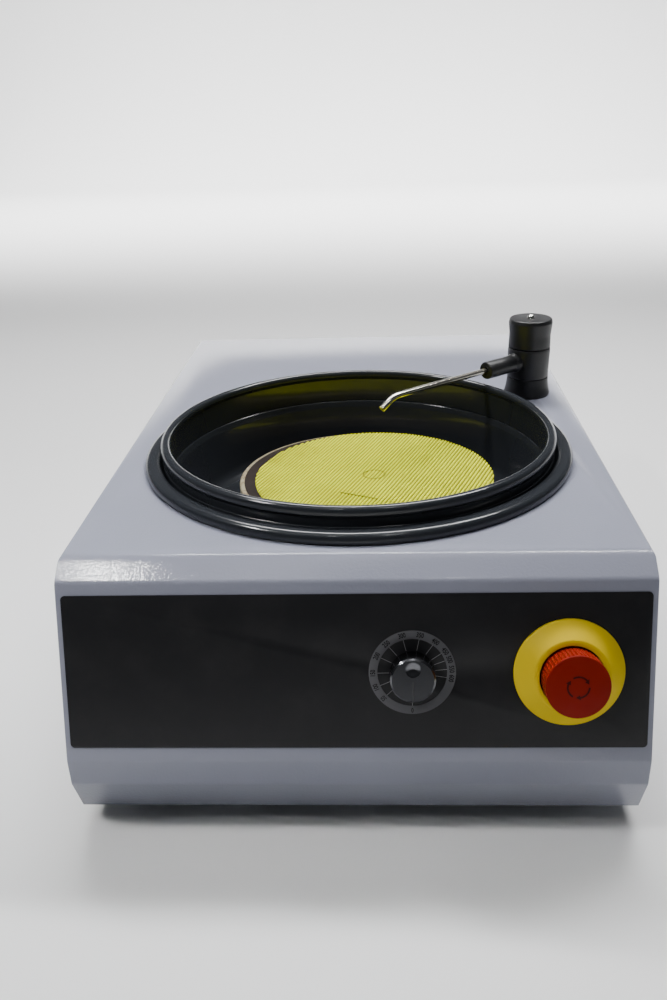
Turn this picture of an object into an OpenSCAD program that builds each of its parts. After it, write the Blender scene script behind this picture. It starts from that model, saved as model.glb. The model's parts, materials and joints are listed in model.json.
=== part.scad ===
// Single-wheel flat lap: a water-fed turntable in a bent-steel housing, with a splash
// bowl, a swivel water tap, a speed knob and an emergency stop button.
// Millimetres. +Z is up and the operator stands at -Y. The origin lies on the table top,
// under the middle of the whole machine's footprint.

/* [Housing] */
// Outer width of the housing
housing_w = 400; // [396:1:420]
// Height of the top plate above the table
top_z = 200; // [196:1:210]
// Clear height under the housing, taken up by the feet
foot_h = 15; // [12:1:16]
// Thickness of the housing's sheet steel
sheet_t = 2; // [1.5:0.5:2.5]
// Y position of the platen's axis
axis_y = -68.9; // [-80:0.1:-60]
// Platen axis to the rear face
rear_reach = 369.5; // [365:0.5:380]
// Platen axis to the bend line at the front of the top plate
front_flat = 184.7; // [182:0.1:190]
// Slope of the band between the top plate and the lip
lip_slope = 36; // [30:1:42]
// Bend radius of the lip
lip_r = 7; // [4:0.5:9]
// Tilt of the front panel from upright
panel_tilt = 16.45; // [12:0.05:20]
// Depth of the front panel's lower bend below the top plate
band_top = 134; // [130:1:140]
// Depth of the lower end of the upright band
band_bottom = 154; // [150:1:160]
// How far the bottom edge is tucked in behind the upright band
undercut = 12.9; // [8:0.1:16]
// Radius of the two rear corners, seen from above
rear_corner_r = 10; // [6:1:14]
// Bend radius along the sides of the top plate
top_edge_r = 4; // [3:0.5:6]

/* [Front panel] */
// Width of the black film
film_w = 393; // [380:1:394]
// Height of the black film, along the slope
film_h = 107.7; // [100:0.1:110]
// Thickness of the black film
film_t = 0.6; // [0.4:0.1:1]
// Platen axis to the film's top edge, towards the operator
film_reach = 204.6; // [203:0.1:207]
// Depth of the film's top edge below the top plate
film_drop = 20.9; // [20:0.1:24]
// X position of the speed knob
knob_x = 38.9; // [30:0.1:50]
// X position of the emergency stop
estop_x = 142.9; // [135:0.1:150]
// Distance of both controls from the film's top edge
control_s = 54.3; // [50:0.1:58]

/* [Bowl] */
// Outer radius of the bowl's flange
flange_r = 177.4; // [176:0.1:180]
// Height of the flange's bead above the top plate
bead_h = 8.5; // [7:0.5:10]
// Height of the splash ring above the top plate
rim_h = 22.5; // [20:0.5:23]
// Outer radius of the splash ring's rolled rim
rim_r = 163.5; // [163:0.1:164]
// Depth of the bowl's floor below the top plate
bowl_depth = 60; // [56:1:62]

/* [Platen and disc] */
// Radius of the turning platen
platen_r = 102; // [100:1:105]
// Depth of the platen's face below the top plate
platen_drop = 23.5; // [22:0.5:26]
// Thickness of the platen
platen_t = 12; // [10:1:13]
// Thickness of the magnetic film
mag_t = 0.8; // [0.5:0.1:1]
// Radius of the polishing disc
disc_r = 101.5; // [99:0.5:102]
// Thickness of the polishing disc
disc_t = 1.8; // [1:0.1:2]
// How far the disc lies to the right of the platen's axis
disc_dx = 13.2; // [0:0.1:14]
// How far the disc lies ahead of the platen's axis
disc_dy = 3; // [0:0.1:6]

/* [Drive] */
// Radius of the spindle
spindle_r = 10; // [9:1:12]
// Working radius of the spindle's pulley
big_pulley_r = 50; // [45:1:52]
// Working radius of the motor's pulley
small_pulley_r = 17; // [15:1:18]
// X position of the motor
motor_x = -45; // [-46:1:-40]
// Platen axis to the motor's axis
motor_dy = 262; // [258:1:264]
// Radius of the motor's shell
motor_r = 44; // [40:1:44]

/* [Water tap] */
// X position of the tap
tap_x = 162.5; // [160:0.1:165]
// Platen axis to the tap, towards the rear
tap_dy = 147; // [145:0.1:150]
// Height of the tap above the top plate
tap_h = 74; // [72:1:80]
// Direction of the spout, from +X towards +Y
spout_az = 219.2; // [215:0.1:225]
// Height of the spout above the top plate
spout_z = 34; // [34:0.5:36]
// Tap axis to the spout's tip
spout_reach = 183; // [175:1:185]
// Outer radius of the spout tube
spout_r = 2.7; // [2:0.1:3]

/* [Speed knob] */
// Radius of the knob
knob_r = 15; // [13:0.5:16]
// Height of the knob's face above the film
knob_h = 17.7; // [15:0.1:20]
// Outer radius of the dial's grey ring
dial_r = 29.2; // [26:0.1:30]
// Inner radius of the dial's grey ring
dial_inner_r = 23.3; // [20:0.1:24]

/* [Emergency stop] */
// Radius of the yellow collar
collar_r = 36.8; // [34:0.1:38]
// Height of the yellow collar
collar_h = 12; // [10:0.5:14]
// Radius of the red head
head_r = 20.8; // [19:0.1:21]
// Height of the red head's face above the film
head_h = 31; // [28:0.5:34]

/* [Rear fittings] */
// How far the hose fittings stand out behind the rear face
fitting_reach = 24; // [20:1:30]
// Outer radius of the drain spigot
drain_r = 9.5; // [8:0.5:10]
// Outer radius of the water inlet's nipple
inlet_r = 10; // [8:0.5:11]

/* [Hidden] */
$fn = 96;

eps = 0.01;                          // overlap that lets one solid cut through another's face
run_gap = 0.05;                      // radial clearance of a running fit
pan_z = foot_h;                      // underside of the base pan and of the housing
floor_z = foot_h + sheet_t;          // upper face of the base pan
inner_top = top_z - sheet_t;         // underside of the top plate
half_w = housing_w / 2;
rear_y = axis_y + rear_reach;        // outer rear face
panel_y = rear_y - sheet_t;          // outer face of the rear panel
arc_steps = 8;                       // flats in each small bend

// Rear return flange and the panel behind it
return_w = 22;
panel_half_w = half_w - rear_corner_r;
rear_screw_x = half_w - 16.5;
rear_screw_z = 7;                    // from the panel's upper and lower edges

// Feet and the screws in the housing's sides
foot_r = 16;
foot_x = 160;
foot_y = [axis_y - 190, axis_y + 335];
side_screw_z = 30;
side_screw_y = [axis_y - 150, axis_y + 90, axis_y + 330];

// Bowl section: radii of the groove, the ledge and the centre collar
groove_r = 165;
ledge_z = -8;
ledge_in = 156.8;
bowl_wall = 2.5;
plate_hole_r = groove_r + bowl_wall + 0.4;
gasket_t = 1;
collar_in = 22;
collar_top = -43;
drain_at = [64, 111];

// Drive train heights above the table
deck_z = 75;
deck_t = 5;
deck_top = deck_z + deck_t;
pulley_z = 47;
pulley_h = 18;
pulley_flange = 3;
belt_t = 3;
belt_w = 13;
belt_gap = 0.25;
bearing_z = [deck_top + 4, top_z - 80];
bearing_h = 14;
bearing_r = 23.5;
pillar_at = [[-95, -55], [95, -55], [-95, 315], [95, 315]];

// Tap: heights of its two parting lines and the swept spout
tap_lines = [18, 47];
tap_r = 20;
stem_r = 8;
sleeve_r = 8.1;
sleeve_end = 58;
spout_bend_r = 25;
spout_bend = 32;
spout_tip = 9;

// Rear fittings
mains_x = -150;
inlet_z = 60;
switch_z = 105;
fuse_z = 146;
drain_z = 96;
water_at = [150, 150];
hose_nut_h = 5;
shank_step = 0.6;                    // the shank is slimmer than the hose tail by this
fitting_inner = 26.4;                // reach of the fittings inside the panel
rocker_rest = 6;                     // tilt of the rocker at rest

// ---- 2D helpers ----

function unit(v) = v / norm(v);
function left_of(v) = [-v[1], v[0]];
function cross2(a, b) = a[0] * b[1] - a[1] * b[0];
// Where the line through p along d meets the line through q along e
function meet(p, d, q, e) = p + d * cross2(q - p, e) / cross2(d, e);

// The points of an arc that rounds the corner b between a and c
function corner(a, b, c, r, n) =
    let (u = unit(a - b), v = unit(c - b), half = acos(u * v) / 2)
    let (p = b + u * r / tan(half), q = b + v * r / tan(half), m = b + unit(u + v) * r / sin(half))
    let (a0 = atan2(p[1] - m[1], p[0] - m[0]), a1 = atan2(q[1] - m[1], q[0] - m[0]))
    let (turn = ((a1 - a0 + 540) % 360) - 180)
    [for (i = [0:n]) m + r * [cos(a0 + turn * i / n), sin(a0 + turn * i / n)]];

// A polygon with its corners rounded by the radii in rs
function rounded(pts, rs, n = arc_steps) =
    let (k = len(pts))
    [for (i = [0:k - 1]) each (rs[i] > 0
        ? corner(pts[(i + k - 1) % k], pts[i], pts[(i + 1) % k], rs[i], n) : [pts[i]])];

// A counter-clockwise polygon moved inwards by t
function inset(pts, t) =
    let (k = len(pts))
    [for (i = [0:k - 1])
        let (n1 = left_of(unit(pts[i] - pts[(i + k - 1) % k])), n2 = left_of(unit(pts[(i + 1) % k] - pts[i])))
        pts[i] + t * (n1 + n2) / (1 + n1 * n2)];

function rect(w, h) = [[-w / 2, -h / 2], [w / 2, -h / 2], [w / 2, h / 2], [-w / 2, h / 2]];

// ---- Swept tubes ----

// A smooth curve through the route's points, with n steps for each stretch
function curve_at(a, b, c, d, t) = 0.5 * (2 * b + (c - a) * t + (2 * a - 5 * b + 4 * c - d) * t * t
    + (3 * b - a - 3 * c + d) * t * t * t);
function smooth_route(p, n) = let (k = len(p)) concat(
    [for (i = [0:k - 2], j = [0:n - 1])
        curve_at(p[max(i - 1, 0)], p[i], p[i + 1], p[min(i + 2, k - 1)], j / n)], [p[k - 1]]);

module swept_tube(route, r, sides = 10, steps = 3) {
    path = smooth_route(route, steps);
    k = len(path);
    rings = [for (i = [0:k - 1])
        let (t = unit(path[min(i + 1, k - 1)] - path[max(i - 1, 0)]))
        let (u = unit(cross(t, [1, 0.35, 0.5])), v = cross(t, u))
        for (j = [0:sides - 1]) path[i] + r * (cos(360 * j / sides) * u + sin(360 * j / sides) * v)];
    walls = [for (i = [0:k - 2], j = [0:sides - 1])
        [i * sides + j, (i + 1) * sides + j, (i + 1) * sides + (j + 1) % sides, i * sides + (j + 1) % sides]];
    start = [[for (j = [0:sides - 1]) j]];
    end = [[for (j = [sides - 1:-1:0]) (k - 1) * sides + j]];
    polyhedron(rings, concat(walls, start, end));
}

// ---- Places ----

module at_axis(z = 0) {
    translate([0, axis_y, z]) children();
}

module at_top() {
    translate([0, axis_y, top_z]) children();
}

module at_motor(z = 0) {
    translate([motor_x, axis_y + motor_dy, z]) children();
}

module at_tap(z = 0) {
    translate([tap_x, axis_y + tap_dy, top_z + z]) children();
}

// Local +Z is the panel's outward normal and local +Y runs up the slope
module on_panel(x, s = control_s, out = film_t) {
    translate([x, axis_y - film_reach, top_z - film_drop]) rotate([90 - panel_tilt, 0, 0])
        translate([0, -s, out]) children();
}

// Local +Z points out of the rear panel, local +X to the left seen from behind it
module on_rear(x, z) {
    translate([x, panel_y, z]) rotate([-90, 0, 0]) children();
}

module ring(r_out, r_in, h) {
    difference() {
        cylinder(r = r_out, h = h);
        translate([0, 0, -1]) cylinder(r = r_in, h = h + 2);
    }
}

module hex_nut(r, bore, h) {
    difference() {
        cylinder(r = r, h = h, $fn = 6);
        translate([0, 0, -1]) cylinder(r = bore, h = h + 2);
    }
}

// ---- Housing ----

// Side outline of the housing in Y and Z, from the platen's axis and the top plate
face_dir = [-sin(panel_tilt), -cos(panel_tilt)];
film_edge = [-film_reach, -film_drop];
lip = meet([-front_flat, 0], [-cos(lip_slope), -sin(lip_slope)], film_edge, face_dir);
low_bend = film_edge + face_dir * (band_top - film_drop) / cos(panel_tilt);
band_end = [low_bend[0], -band_bottom];
bottom_front = [low_bend[0] + undercut, pan_z - top_z];

function side_outline(t, extra) =
    let (tuck = unit(bottom_front - band_end) * extra)
    let (pts = [[rear_reach, 0], [-front_flat, 0], lip, low_bend, band_end,
        bottom_front + tuck, [rear_reach, bottom_front[1] + tuck[1]]])
    [for (p = rounded(inset(pts, t), [0, 12, lip_r - t, 9, 9, 0, 0])) p + [axis_y, top_z]];

// The housing's whole outline moved inwards by t; extra lengthens it below
module housing_block(t, extra = 0) {
    front = axis_y - 300;
    intersection() {
        rotate([90, 0, 90]) linear_extrude(housing_w - 2 * t, center = true)
            polygon(side_outline(t, extra));
        translate([0, 0, -20]) linear_extrude(top_z + 60)
            polygon(rounded([[-half_w + t, front], [half_w - t, front], [half_w - t, rear_y - t],
                [-half_w + t, rear_y - t]], [0, 0, rear_corner_r - t, rear_corner_r - t]));
        translate([0, rear_y + 20, 0]) rotate([90, 0, 0]) linear_extrude(rear_y + 400)
            polygon(rounded([[-half_w + t, -20], [half_w - t, -20], [half_w - t, top_z - t],
                [-half_w + t, top_z - t]], [0, 0, top_edge_r - t, top_edge_r - t]));
    }
}

module at_side_screws() {
    for (side = [-1, 1], y = side_screw_y) {
        translate([side * half_w, y, side_screw_z]) rotate([0, -side * 90, 0]) children();
    }
}

module at_rear_screws() {
    for (x = [-rear_screw_x, rear_screw_x], z = [65, 140]) {
        translate([x, rear_y, z]) rotate([90, 0, 0]) children();
    }
    for (x = [-165, -55, 55, 165], z = [floor_z + rear_screw_z, inner_top - rear_screw_z]) {
        translate([x, rear_y, z]) rotate([90, 0, 0]) children();
    }
}

module housing_cover() {
    open_h = inner_top - floor_z - 28;
    color([0.66, 0.68, 0.73]) difference() {
        housing_block(0);
        housing_block(sheet_t, 10);
        translate([0, rear_y, (inner_top + floor_z) / 2]) cube([housing_w - 2 * return_w, 20, open_h], true);
        at_top() translate([0, 0, -10]) cylinder(r = plate_hole_r, h = 20, $fn = 180);
        at_tap(-10) cylinder(r = stem_r, h = 20);
        on_panel(knob_x) translate([0, 0, -10]) cylinder(r = 4.8, h = 20);
        on_panel(estop_x) translate([0, 0, -10]) cylinder(r = 11.2, h = 20);
        at_side_screws() translate([0, 0, -eps]) cylinder(r1 = 4, r2 = 2, h = sheet_t + 2 * eps);
        at_rear_screws() translate([0, 0, -1]) cylinder(r = 1.7, h = 6);
    }
}

module base_pan() {
    front = axis_y + bottom_front[0] + 3.4;
    back = rear_y - sheet_t;
    inside = half_w - sheet_t;
    corner_r = rear_corner_r - sheet_t;
    color([0.5, 0.52, 0.56]) difference() {
        union() {
            translate([0, 0, pan_z]) linear_extrude(sheet_t)
                polygon(rounded([[-inside, front], [inside, front], [inside, back], [-inside, back]],
                    [0, 0, corner_r, corner_r]));
            for (side = [-1, 1]) {
                translate([side * (inside - sheet_t / 2), axis_y + 65, floor_z + 11 - eps])
                    cube([sheet_t, 560, 22], true);
            }
        }
        at_side_screws() cylinder(r = 2.1, h = 8);
        for (x = [-foot_x, foot_x], y = foot_y) {
            translate([x, y, 0]) cylinder(r = 2.1, h = 30);
        }
        for (p = pillar_at) {
            at_axis() translate([p[0], p[1], 0]) cylinder(r = 2.6, h = 30);
        }
    }
}

module rear_panel() {
    color([0.55, 0.57, 0.61]) difference() {
        translate([-panel_half_w, panel_y - sheet_t, floor_z])
            cube([2 * panel_half_w, sheet_t, inner_top - floor_z]);
        at_rear_screws() cylinder(r = 1.7, h = 8);
        for (i = [0:12], z = [84, 128]) {
            translate([-95 + 10 * i, panel_y - 5, z]) cube([4, 10, 36]);
        }
        on_rear(mains_x, inlet_z) cube([28.4, 21, 20], true);
        on_rear(mains_x, switch_z) cube([17.4, 26.4, 20], true);
        on_rear(mains_x, fuse_z) translate([0, 0, -10]) cylinder(r = 6.1, h = 20);
        on_rear(drain_at[0], drain_z) translate([0, 0, -10]) cylinder(r = drain_r - shank_step, h = 20);
        on_rear(water_at[0], water_at[1]) translate([0, 0, -10]) cylinder(r = inlet_r - shank_step, h = 20);
    }
}

module housing_screws() {
    color("dimgray") {
        at_side_screws() {
            cylinder(r1 = 3.9, r2 = 1.95, h = sheet_t);
            cylinder(r = 1.95, h = 9);
        }
        at_rear_screws() {
            translate([0, 0, -2]) cylinder(r1 = 2.4, r2 = 3.6, h = 2);
            translate([0, 0, -eps]) cylinder(r = 1.65, h = 8);
        }
    }
}

module at_feet() {
    for (x = [-foot_x, foot_x], y = foot_y) {
        translate([x, y, 0]) children();
    }
}

module rubber_feet() {
    color([0.1, 0.1, 0.1]) at_feet() difference() {
        cylinder(r1 = foot_r - 2, r2 = foot_r, h = pan_z);
        translate([0, 0, -1]) cylinder(r = 6, h = 9);
        translate([0, 0, 4]) cylinder(r = 2.1, h = 20);
    }
}

module foot_screws() {
    color("silver") at_feet() {
        translate([0, 0, 4.5]) cylinder(r = 4, h = 3.5);
        translate([0, 0, 7]) cylinder(r = 2, h = 15);
    }
}

// ---- Front panel ----

module control_film() {
    color([0.1, 0.1, 0.11]) on_panel(0, film_h / 2, 0) difference() {
        linear_extrude(film_t) polygon(rounded(rect(film_w, film_h), [3, 3, 3, 3]));
        translate([knob_x, film_h / 2 - control_s, -1]) cylinder(r = 4.8, h = 3);
        translate([estop_x, film_h / 2 - control_s, -1]) cylinder(r = 11.2, h = 3);
    }
}

module dial_ring() {
    color([0.3, 0.3, 0.32]) on_panel(knob_x) ring(dial_r, dial_inner_r, 0.4);
}

module speed_pot() {
    color("slategray") on_panel(knob_x) difference() {
        union() {
            translate([0, 0, -22]) cylinder(r = 12, h = 19.2);
            translate([0, 0, -4]) cylinder(r = 4.7, h = 8);
        }
        translate([0, 0, -14]) cylinder(r = 3 + run_gap, h = 30);
    }
}

module pot_shaft() {
    color("silver") on_panel(knob_x) translate([0, 0, -12]) cylinder(r = 3, h = 26);
}

module speed_knob() {
    color([0.75, 0.76, 0.78]) on_panel(knob_x) difference() {
        union() {
            translate([0, 0, 0.8]) cylinder(r = knob_r, h = knob_h - 2.2);
            translate([0, 0, knob_h - 1.4 - eps]) cylinder(r1 = knob_r, r2 = knob_r - 1.4, h = 1.4);
        }
        translate([0, 0, -1]) cylinder(r = 9.5, h = 6);
        translate([0, 0, 4]) cylinder(r = 3, h = 10);
        translate([0, 8.6, knob_h + 8]) sphere(r = 9.6);
    }
}

module panel_nuts() {
    color("silver") {
        on_panel(knob_x) hex_nut(8, 4.7, 2.6);
        on_panel(estop_x) translate([0, 0, -8.6]) hex_nut(17, 11, 6);
    }
}

module estop_collar() {
    bore = head_r + 1.2;
    color([0.85, 0.75, 0.05]) on_panel(estop_x) rotate_extrude($fn = 120)
        polygon([[bore, 0], [collar_r, 0], [collar_r, 1.6], [bore + 3, collar_h - 0.6],
            [bore + 2, collar_h], [bore, collar_h]]);
}

module estop_barrel() {
    color("dimgray") on_panel(estop_x) difference() {
        translate([0, 0, -34]) cylinder(r = 11, h = 37);
        translate([0, 0, -35]) cylinder(r = 4 + run_gap, h = 40);
    }
}

module estop_contact_block() {
    color("darkslategray") on_panel(estop_x) difference() {
        translate([-15, -20, -58]) cube([30, 40, 24]);
        translate([0, 0, -50]) cylinder(r = 5, h = 20);
    }
}

module estop_plunger() {
    color("silver") on_panel(estop_x) translate([0, 0, -38]) cylinder(r = 4, h = 62);
}

module estop_head() {
    color([0.7, 0.1, 0.05]) on_panel(estop_x) rotate_extrude($fn = 120)
        polygon([[4 + run_gap, 14], [17.5, 14], [17.5, 7], [head_r, 7], [head_r, head_h - 1.5],
            [head_r - 1.5, head_h], [0, head_h], [0, 25], [4 + run_gap, 25]]);
}

// ---- Bowl and splash ring ----

// Floor of the bowl: the floor falls towards the drain's circle
floor_out = -bowl_depth;
floor_in = -bowl_depth + 4;

module bowl() {
    color([0.14, 0.15, 0.17]) at_top() difference() {
        union() {
            rotate_extrude($fn = 180) polygon(concat(
                [[flange_r, gasket_t]],
                corner([flange_r, 0], [flange_r, bead_h], [groove_r, bead_h], 5, arc_steps),
                corner([flange_r, bead_h], [groove_r, bead_h], [groove_r, 0], 3.5, arc_steps),
                [[groove_r, ledge_z], [ledge_in, ledge_z], [155.3, -12], [151, -32], [146.5, floor_out + 9],
                [143, floor_out + 3.5], [137, floor_out], [110, floor_out], [45, floor_in], [25.5, floor_in],
                [25.5, collar_top], [collar_in, collar_top], [collar_in, floor_in - 4], [46, floor_in - 4],
                [110, floor_out - 3.2], [138, floor_out - 3.2], [146, floor_out + 1.5], [149.5, floor_out + 8],
                [154, -32], [158, -11.5], [groove_r + bowl_wall, -11.5], [groove_r + bowl_wall, gasket_t]]));
            translate([drain_at[0], drain_at[1], floor_out - 17]) cylinder(r = 10, h = 15);
        }
        translate([drain_at[0], drain_at[1], floor_out - 30]) cylinder(r = 8, h = 40);
    }
}

module bowl_gasket() {
    color([0.08, 0.08, 0.08]) at_top() ring(flange_r - 0.6, plate_hole_r, gasket_t);
}

module splash_ring() {
    wall_out = 161.4;
    wall_in = 157.2;
    bead_in = 154.5;
    color([0.16, 0.17, 0.19]) at_top() rotate_extrude($fn = 180) polygon(concat(
        [[wall_in, ledge_z], [162.8, ledge_z], [162.8, 7], [wall_out, 8], [wall_out, rim_h - 8],
        [rim_r, rim_h - 6]],
        corner([rim_r, 0], [rim_r, rim_h], [bead_in, rim_h], 3.6, arc_steps),
        corner([rim_r, rim_h], [bead_in, rim_h], [bead_in, 0], 3.6, arc_steps),
        [[bead_in, rim_h - 5], [wall_in, rim_h - 8]]));
}

// ---- Platen, disc and spindle ----

module platen() {
    edge = 0.8;
    color([0.75, 0.73, 0.68]) at_top() translate([0, 0, -platen_drop - platen_t]) difference() {
        union() {
            cylinder(r = platen_r, h = platen_t - edge, $fn = 180);
            translate([0, 0, platen_t - edge - eps])
                cylinder(r1 = platen_r, r2 = platen_r - edge, h = edge, $fn = 180);
        }
        translate([0, 0, -1]) cylinder(r = 92, h = 4);
        translate([0, 0, -1]) cylinder(r = spindle_r, h = 10);
    }
    color([0.7, 0.7, 0.7]) at_top() translate([0, 0, -platen_drop - platen_t]) difference() {
        cylinder(r = 55, h = 3 + eps);
        translate([0, 0, -1]) cylinder(r = 46, h = 5);
    }
}

module magnetic_film() {
    color([0.2, 0.16, 0.14]) at_top() translate([0, 0, -platen_drop]) cylinder(r = 98, h = mag_t, $fn = 180);
}

module polishing_disc() {
    color([0.82, 0.8, 0.3]) at_top() translate([disc_dx, -disc_dy, -platen_drop + mag_t])
        cylinder(r = disc_r, h = disc_t, $fn = 180);
}

module platen_hub() {
    hub_top = -platen_drop - platen_t + 3;
    color("silver") at_top() difference() {
        union() {
            translate([0, 0, hub_top - 7]) cylinder(r = 40, h = 7);
            translate([0, 0, hub_top - 20]) cylinder(r = 18, h = 14);
            translate([0, 0, hub_top - 13]) ring(33, 29.5, 7);
        }
        translate([0, 0, -90]) cylinder(r = spindle_r, h = 90);
    }
}

module spindle_shaft() {
    shaft_top = top_z - platen_drop - platen_t + 8;
    color("silver") at_axis(40) cylinder(r = spindle_r, h = shaft_top - 40);
}

module flanged_pulley(r, bore) {
    difference() {
        union() {
            cylinder(r = r, h = pulley_h);
            cylinder(r = r + pulley_flange, h = 2);
            translate([0, 0, pulley_h - 2]) cylinder(r = r + pulley_flange, h = 2);
        }
        translate([0, 0, -1]) cylinder(r = bore, h = pulley_h + 2);
    }
}

module spindle_pulley() {
    color("gainsboro") at_axis(pulley_z) difference() {
        flanged_pulley(big_pulley_r, spindle_r);
        for (a = [0:60:300]) {
            rotate(a) translate([31, 0, -1]) cylinder(r = 9, h = pulley_h + 2);
        }
    }
}

module spindle_housing() {
    tube_top = top_z - bowl_depth - 5;
    color("lightgray") at_axis(deck_top) difference() {
        union() {
            cylinder(r = 45, h = 8);
            cylinder(r = 28, h = tube_top - deck_top);
        }
        translate([0, 0, 4]) cylinder(r = bearing_r, h = 100);
        translate([0, 0, -1]) cylinder(r = 15, h = 10);
        for (a = [45:90:315]) {
            rotate(a) translate([37, 0, -1]) cylinder(r = 2.6, h = 12);
        }
    }
}

module bearing(r_out, bore, h) {
    ring(r_out - run_gap, bore + run_gap, h);
}

module spindle_bearings() {
    color("silver") for (z = bearing_z) {
        at_axis(z) bearing(bearing_r, spindle_r, bearing_h);
    }
}

module spindle_seal() {
    color([0.1, 0.1, 0.1]) at_top() translate([0, 0, -60]) ring(collar_in - run_gap, spindle_r + run_gap, 7);
}

// ---- Deck, motor and belt ----

module drive_deck() {
    color([0.7, 0.7, 0.72]) at_axis(deck_z) difference() {
        translate([-108, -70, 0]) cube([216, 400, deck_t]);
        translate([0, 0, -1]) cylinder(r = 30, h = 10);
        translate([motor_x, motor_dy, -1]) cylinder(r = 24, h = 10);
        for (p = pillar_at) {
            translate([p[0], p[1], -1]) cylinder(r = 2.6, h = 10);
        }
        for (a = [45:90:315]) {
            rotate(a) translate([37, 0, -1]) cylinder(r = 2.6, h = 10);
            translate([motor_x, motor_dy, -1]) rotate(a) translate([50, 0, 0]) cylinder(r = 2.6, h = 10);
        }
    }
}

module deck_pillars() {
    color("silver") for (p = pillar_at) {
        at_axis(floor_z) translate([p[0], p[1], 0]) difference() {
            cylinder(r = 8, h = deck_z - floor_z);
            translate([0, 0, -1]) cylinder(r = 2.6, h = deck_z);
        }
    }
}

// A screw that hangs from the origin, its head standing on the plane z = 0
module bolt(r, head_r, head_h, length) {
    cylinder(r = head_r, h = head_h);
    translate([0, 0, -length]) cylinder(r = r, h = length + eps);
}

module drive_bolts() {
    color("dimgray") {
        for (p = pillar_at) {
            at_axis(deck_top) translate([p[0], p[1], 0]) bolt(2.5, 4.5, 4, 20);
            at_axis(pan_z) translate([p[0], p[1], 0]) mirror([0, 0, 1]) bolt(2.5, 4.5, 2.5, 18);
        }
        for (a = [45:90:315]) {
            at_axis(deck_top + 8) rotate(a) translate([37, 0, 0]) bolt(2.5, 4.2, 4, 15);
            at_motor(deck_top + 8) rotate(a) translate([50, 0, 0]) bolt(2.5, 4.2, 4, 15);
        }
        at_axis(40) translate([0, 0, -5]) cylinder(r = 7, h = 5);
    }
}

module motor_flange() {
    color("gray") at_motor(deck_top) difference() {
        cylinder(r = 56, h = 8);
        translate([0, 0, -1]) cylinder(r = 9, h = 10);
        translate([0, 0, 2]) cylinder(r = 16, h = 10);
        for (a = [45:90:315]) {
            rotate(a) translate([50, 0, -1]) cylinder(r = 2.6, h = 12);
        }
    }
}

module motor_shell() {
    color("gray") at_motor(deck_top + 8) difference() {
        union() {
            cylinder(r = motor_r - 2, h = 82);
            for (a = [0:20:340]) {
                rotate(a) translate([motor_r - 3, -1.2, 4]) cube([3, 2.4, 74]);
            }
        }
        translate([0, 0, -1]) cylinder(r = 29, h = 90);
    }
}

module motor_end_cap() {
    color("dimgray") at_motor(deck_top + 90) difference() {
        union() {
            cylinder(r = motor_r - 1, h = 10);
            translate([0, 0, 10 - eps]) cylinder(r1 = motor_r - 1, r2 = motor_r - 8, h = 5);
        }
        translate([0, 0, -1]) cylinder(r = 16, h = 9);
    }
}

module motor_bearings() {
    color("silver") {
        at_motor(deck_top + 2) bearing(16, 7, 8);
        at_motor(deck_top + 90) bearing(16, 7, 7);
    }
}

module motor_rotor() {
    color("darkgray") {
        at_motor(42) cylinder(r = 7, h = deck_top + 97 - 42);
        at_motor(deck_top + 14) cylinder(r = 28, h = 68);
    }
}

module motor_pulley() {
    color("gainsboro") at_motor(pulley_z) flanged_pulley(small_pulley_r, 7);
}

// Outline of a belt wrapped round both pulleys, out by d from their working radii
function belt_outline(d, n) =
    let (r1 = big_pulley_r + d, r2 = small_pulley_r + d, span = norm([motor_x, motor_dy]))
    let (a = atan2(motor_dy, motor_x), b = acos((r1 - r2) / span))
    concat([for (i = [0:n]) r1 * [cos(a + b + (360 - 2 * b) * i / n), sin(a + b + (360 - 2 * b) * i / n)]],
        [for (i = [0:n]) [motor_x, motor_dy] + r2 * [cos(a - b + 2 * b * i / n), sin(a - b + 2 * b * i / n)]]);

module drive_belt() {
    color([0.12, 0.12, 0.12]) at_axis(pulley_z + (pulley_h - belt_w) / 2) linear_extrude(belt_w) difference() {
        polygon(belt_outline(belt_gap + belt_t, 40));
        polygon(belt_outline(belt_gap, 40));
    }
}

// ---- Electrical parts ----

module controller_box() {
    color("darkslategray") at_axis(floor_z) difference() {
        translate([-190, 40, 0]) cube([66, 160, 92]);
        for (i = [0:9]) {
            translate([-127, 52 + 14 * i, 6]) cube([10, 8, 100]);
        }
    }
}

module power_inlet() {
    color([0.12, 0.12, 0.12]) on_rear(mains_x, inlet_z) difference() {
        union() {
            linear_extrude(3) polygon(rounded(rect(50, 27), [5, 5, 5, 5]));
            translate([0, 0, -12]) cube([28, 20.6, 24.2], true);
        }
        translate([0, 0, 3]) linear_extrude(32, center = true)
            polygon([[-11.5, -7.5], [11.5, -7.5], [11.5, 4], [8, 7.5], [-8, 7.5], [-11.5, 4]]);
    }
}

module inlet_pins() {
    color("silver") on_rear(mains_x, inlet_z) for (p = [[-7, -1], [0, 3], [7, -1]]) {
        translate([p[0], p[1], -6.5]) cube([2, 4, 13], true);
    }
}

module switch_frame() {
    color([0.12, 0.12, 0.12]) on_rear(mains_x, switch_z) difference() {
        union() {
            linear_extrude(2.5) polygon(rounded(rect(21, 30), [2, 2, 2, 2]));
            translate([0, 0, -8]) cube([17, 26, 16.2], true);
        }
        translate([0, 0, 1]) cube([13.4, 22.4, 24], true);
        rotate([0, 90, 0]) cylinder(r = 1.5 + run_gap, h = 15.5, center = true);
    }
}

module mains_rocker() {
    color([0.15, 0.15, 0.15]) on_rear(mains_x, switch_z) rotate([rocker_rest, 0, 0]) union() {
        rotate([0, 90, 0]) cylinder(r = 1.5, h = 15.2, center = true);
        rotate([90, 0, 90]) linear_extrude(12.8, center = true)
            polygon([[-10, 0], [-3, -4], [3, -4], [10, 0], [10, 3.2], [0, 2.2], [-10, 3.2]]);
    }
}

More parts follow.
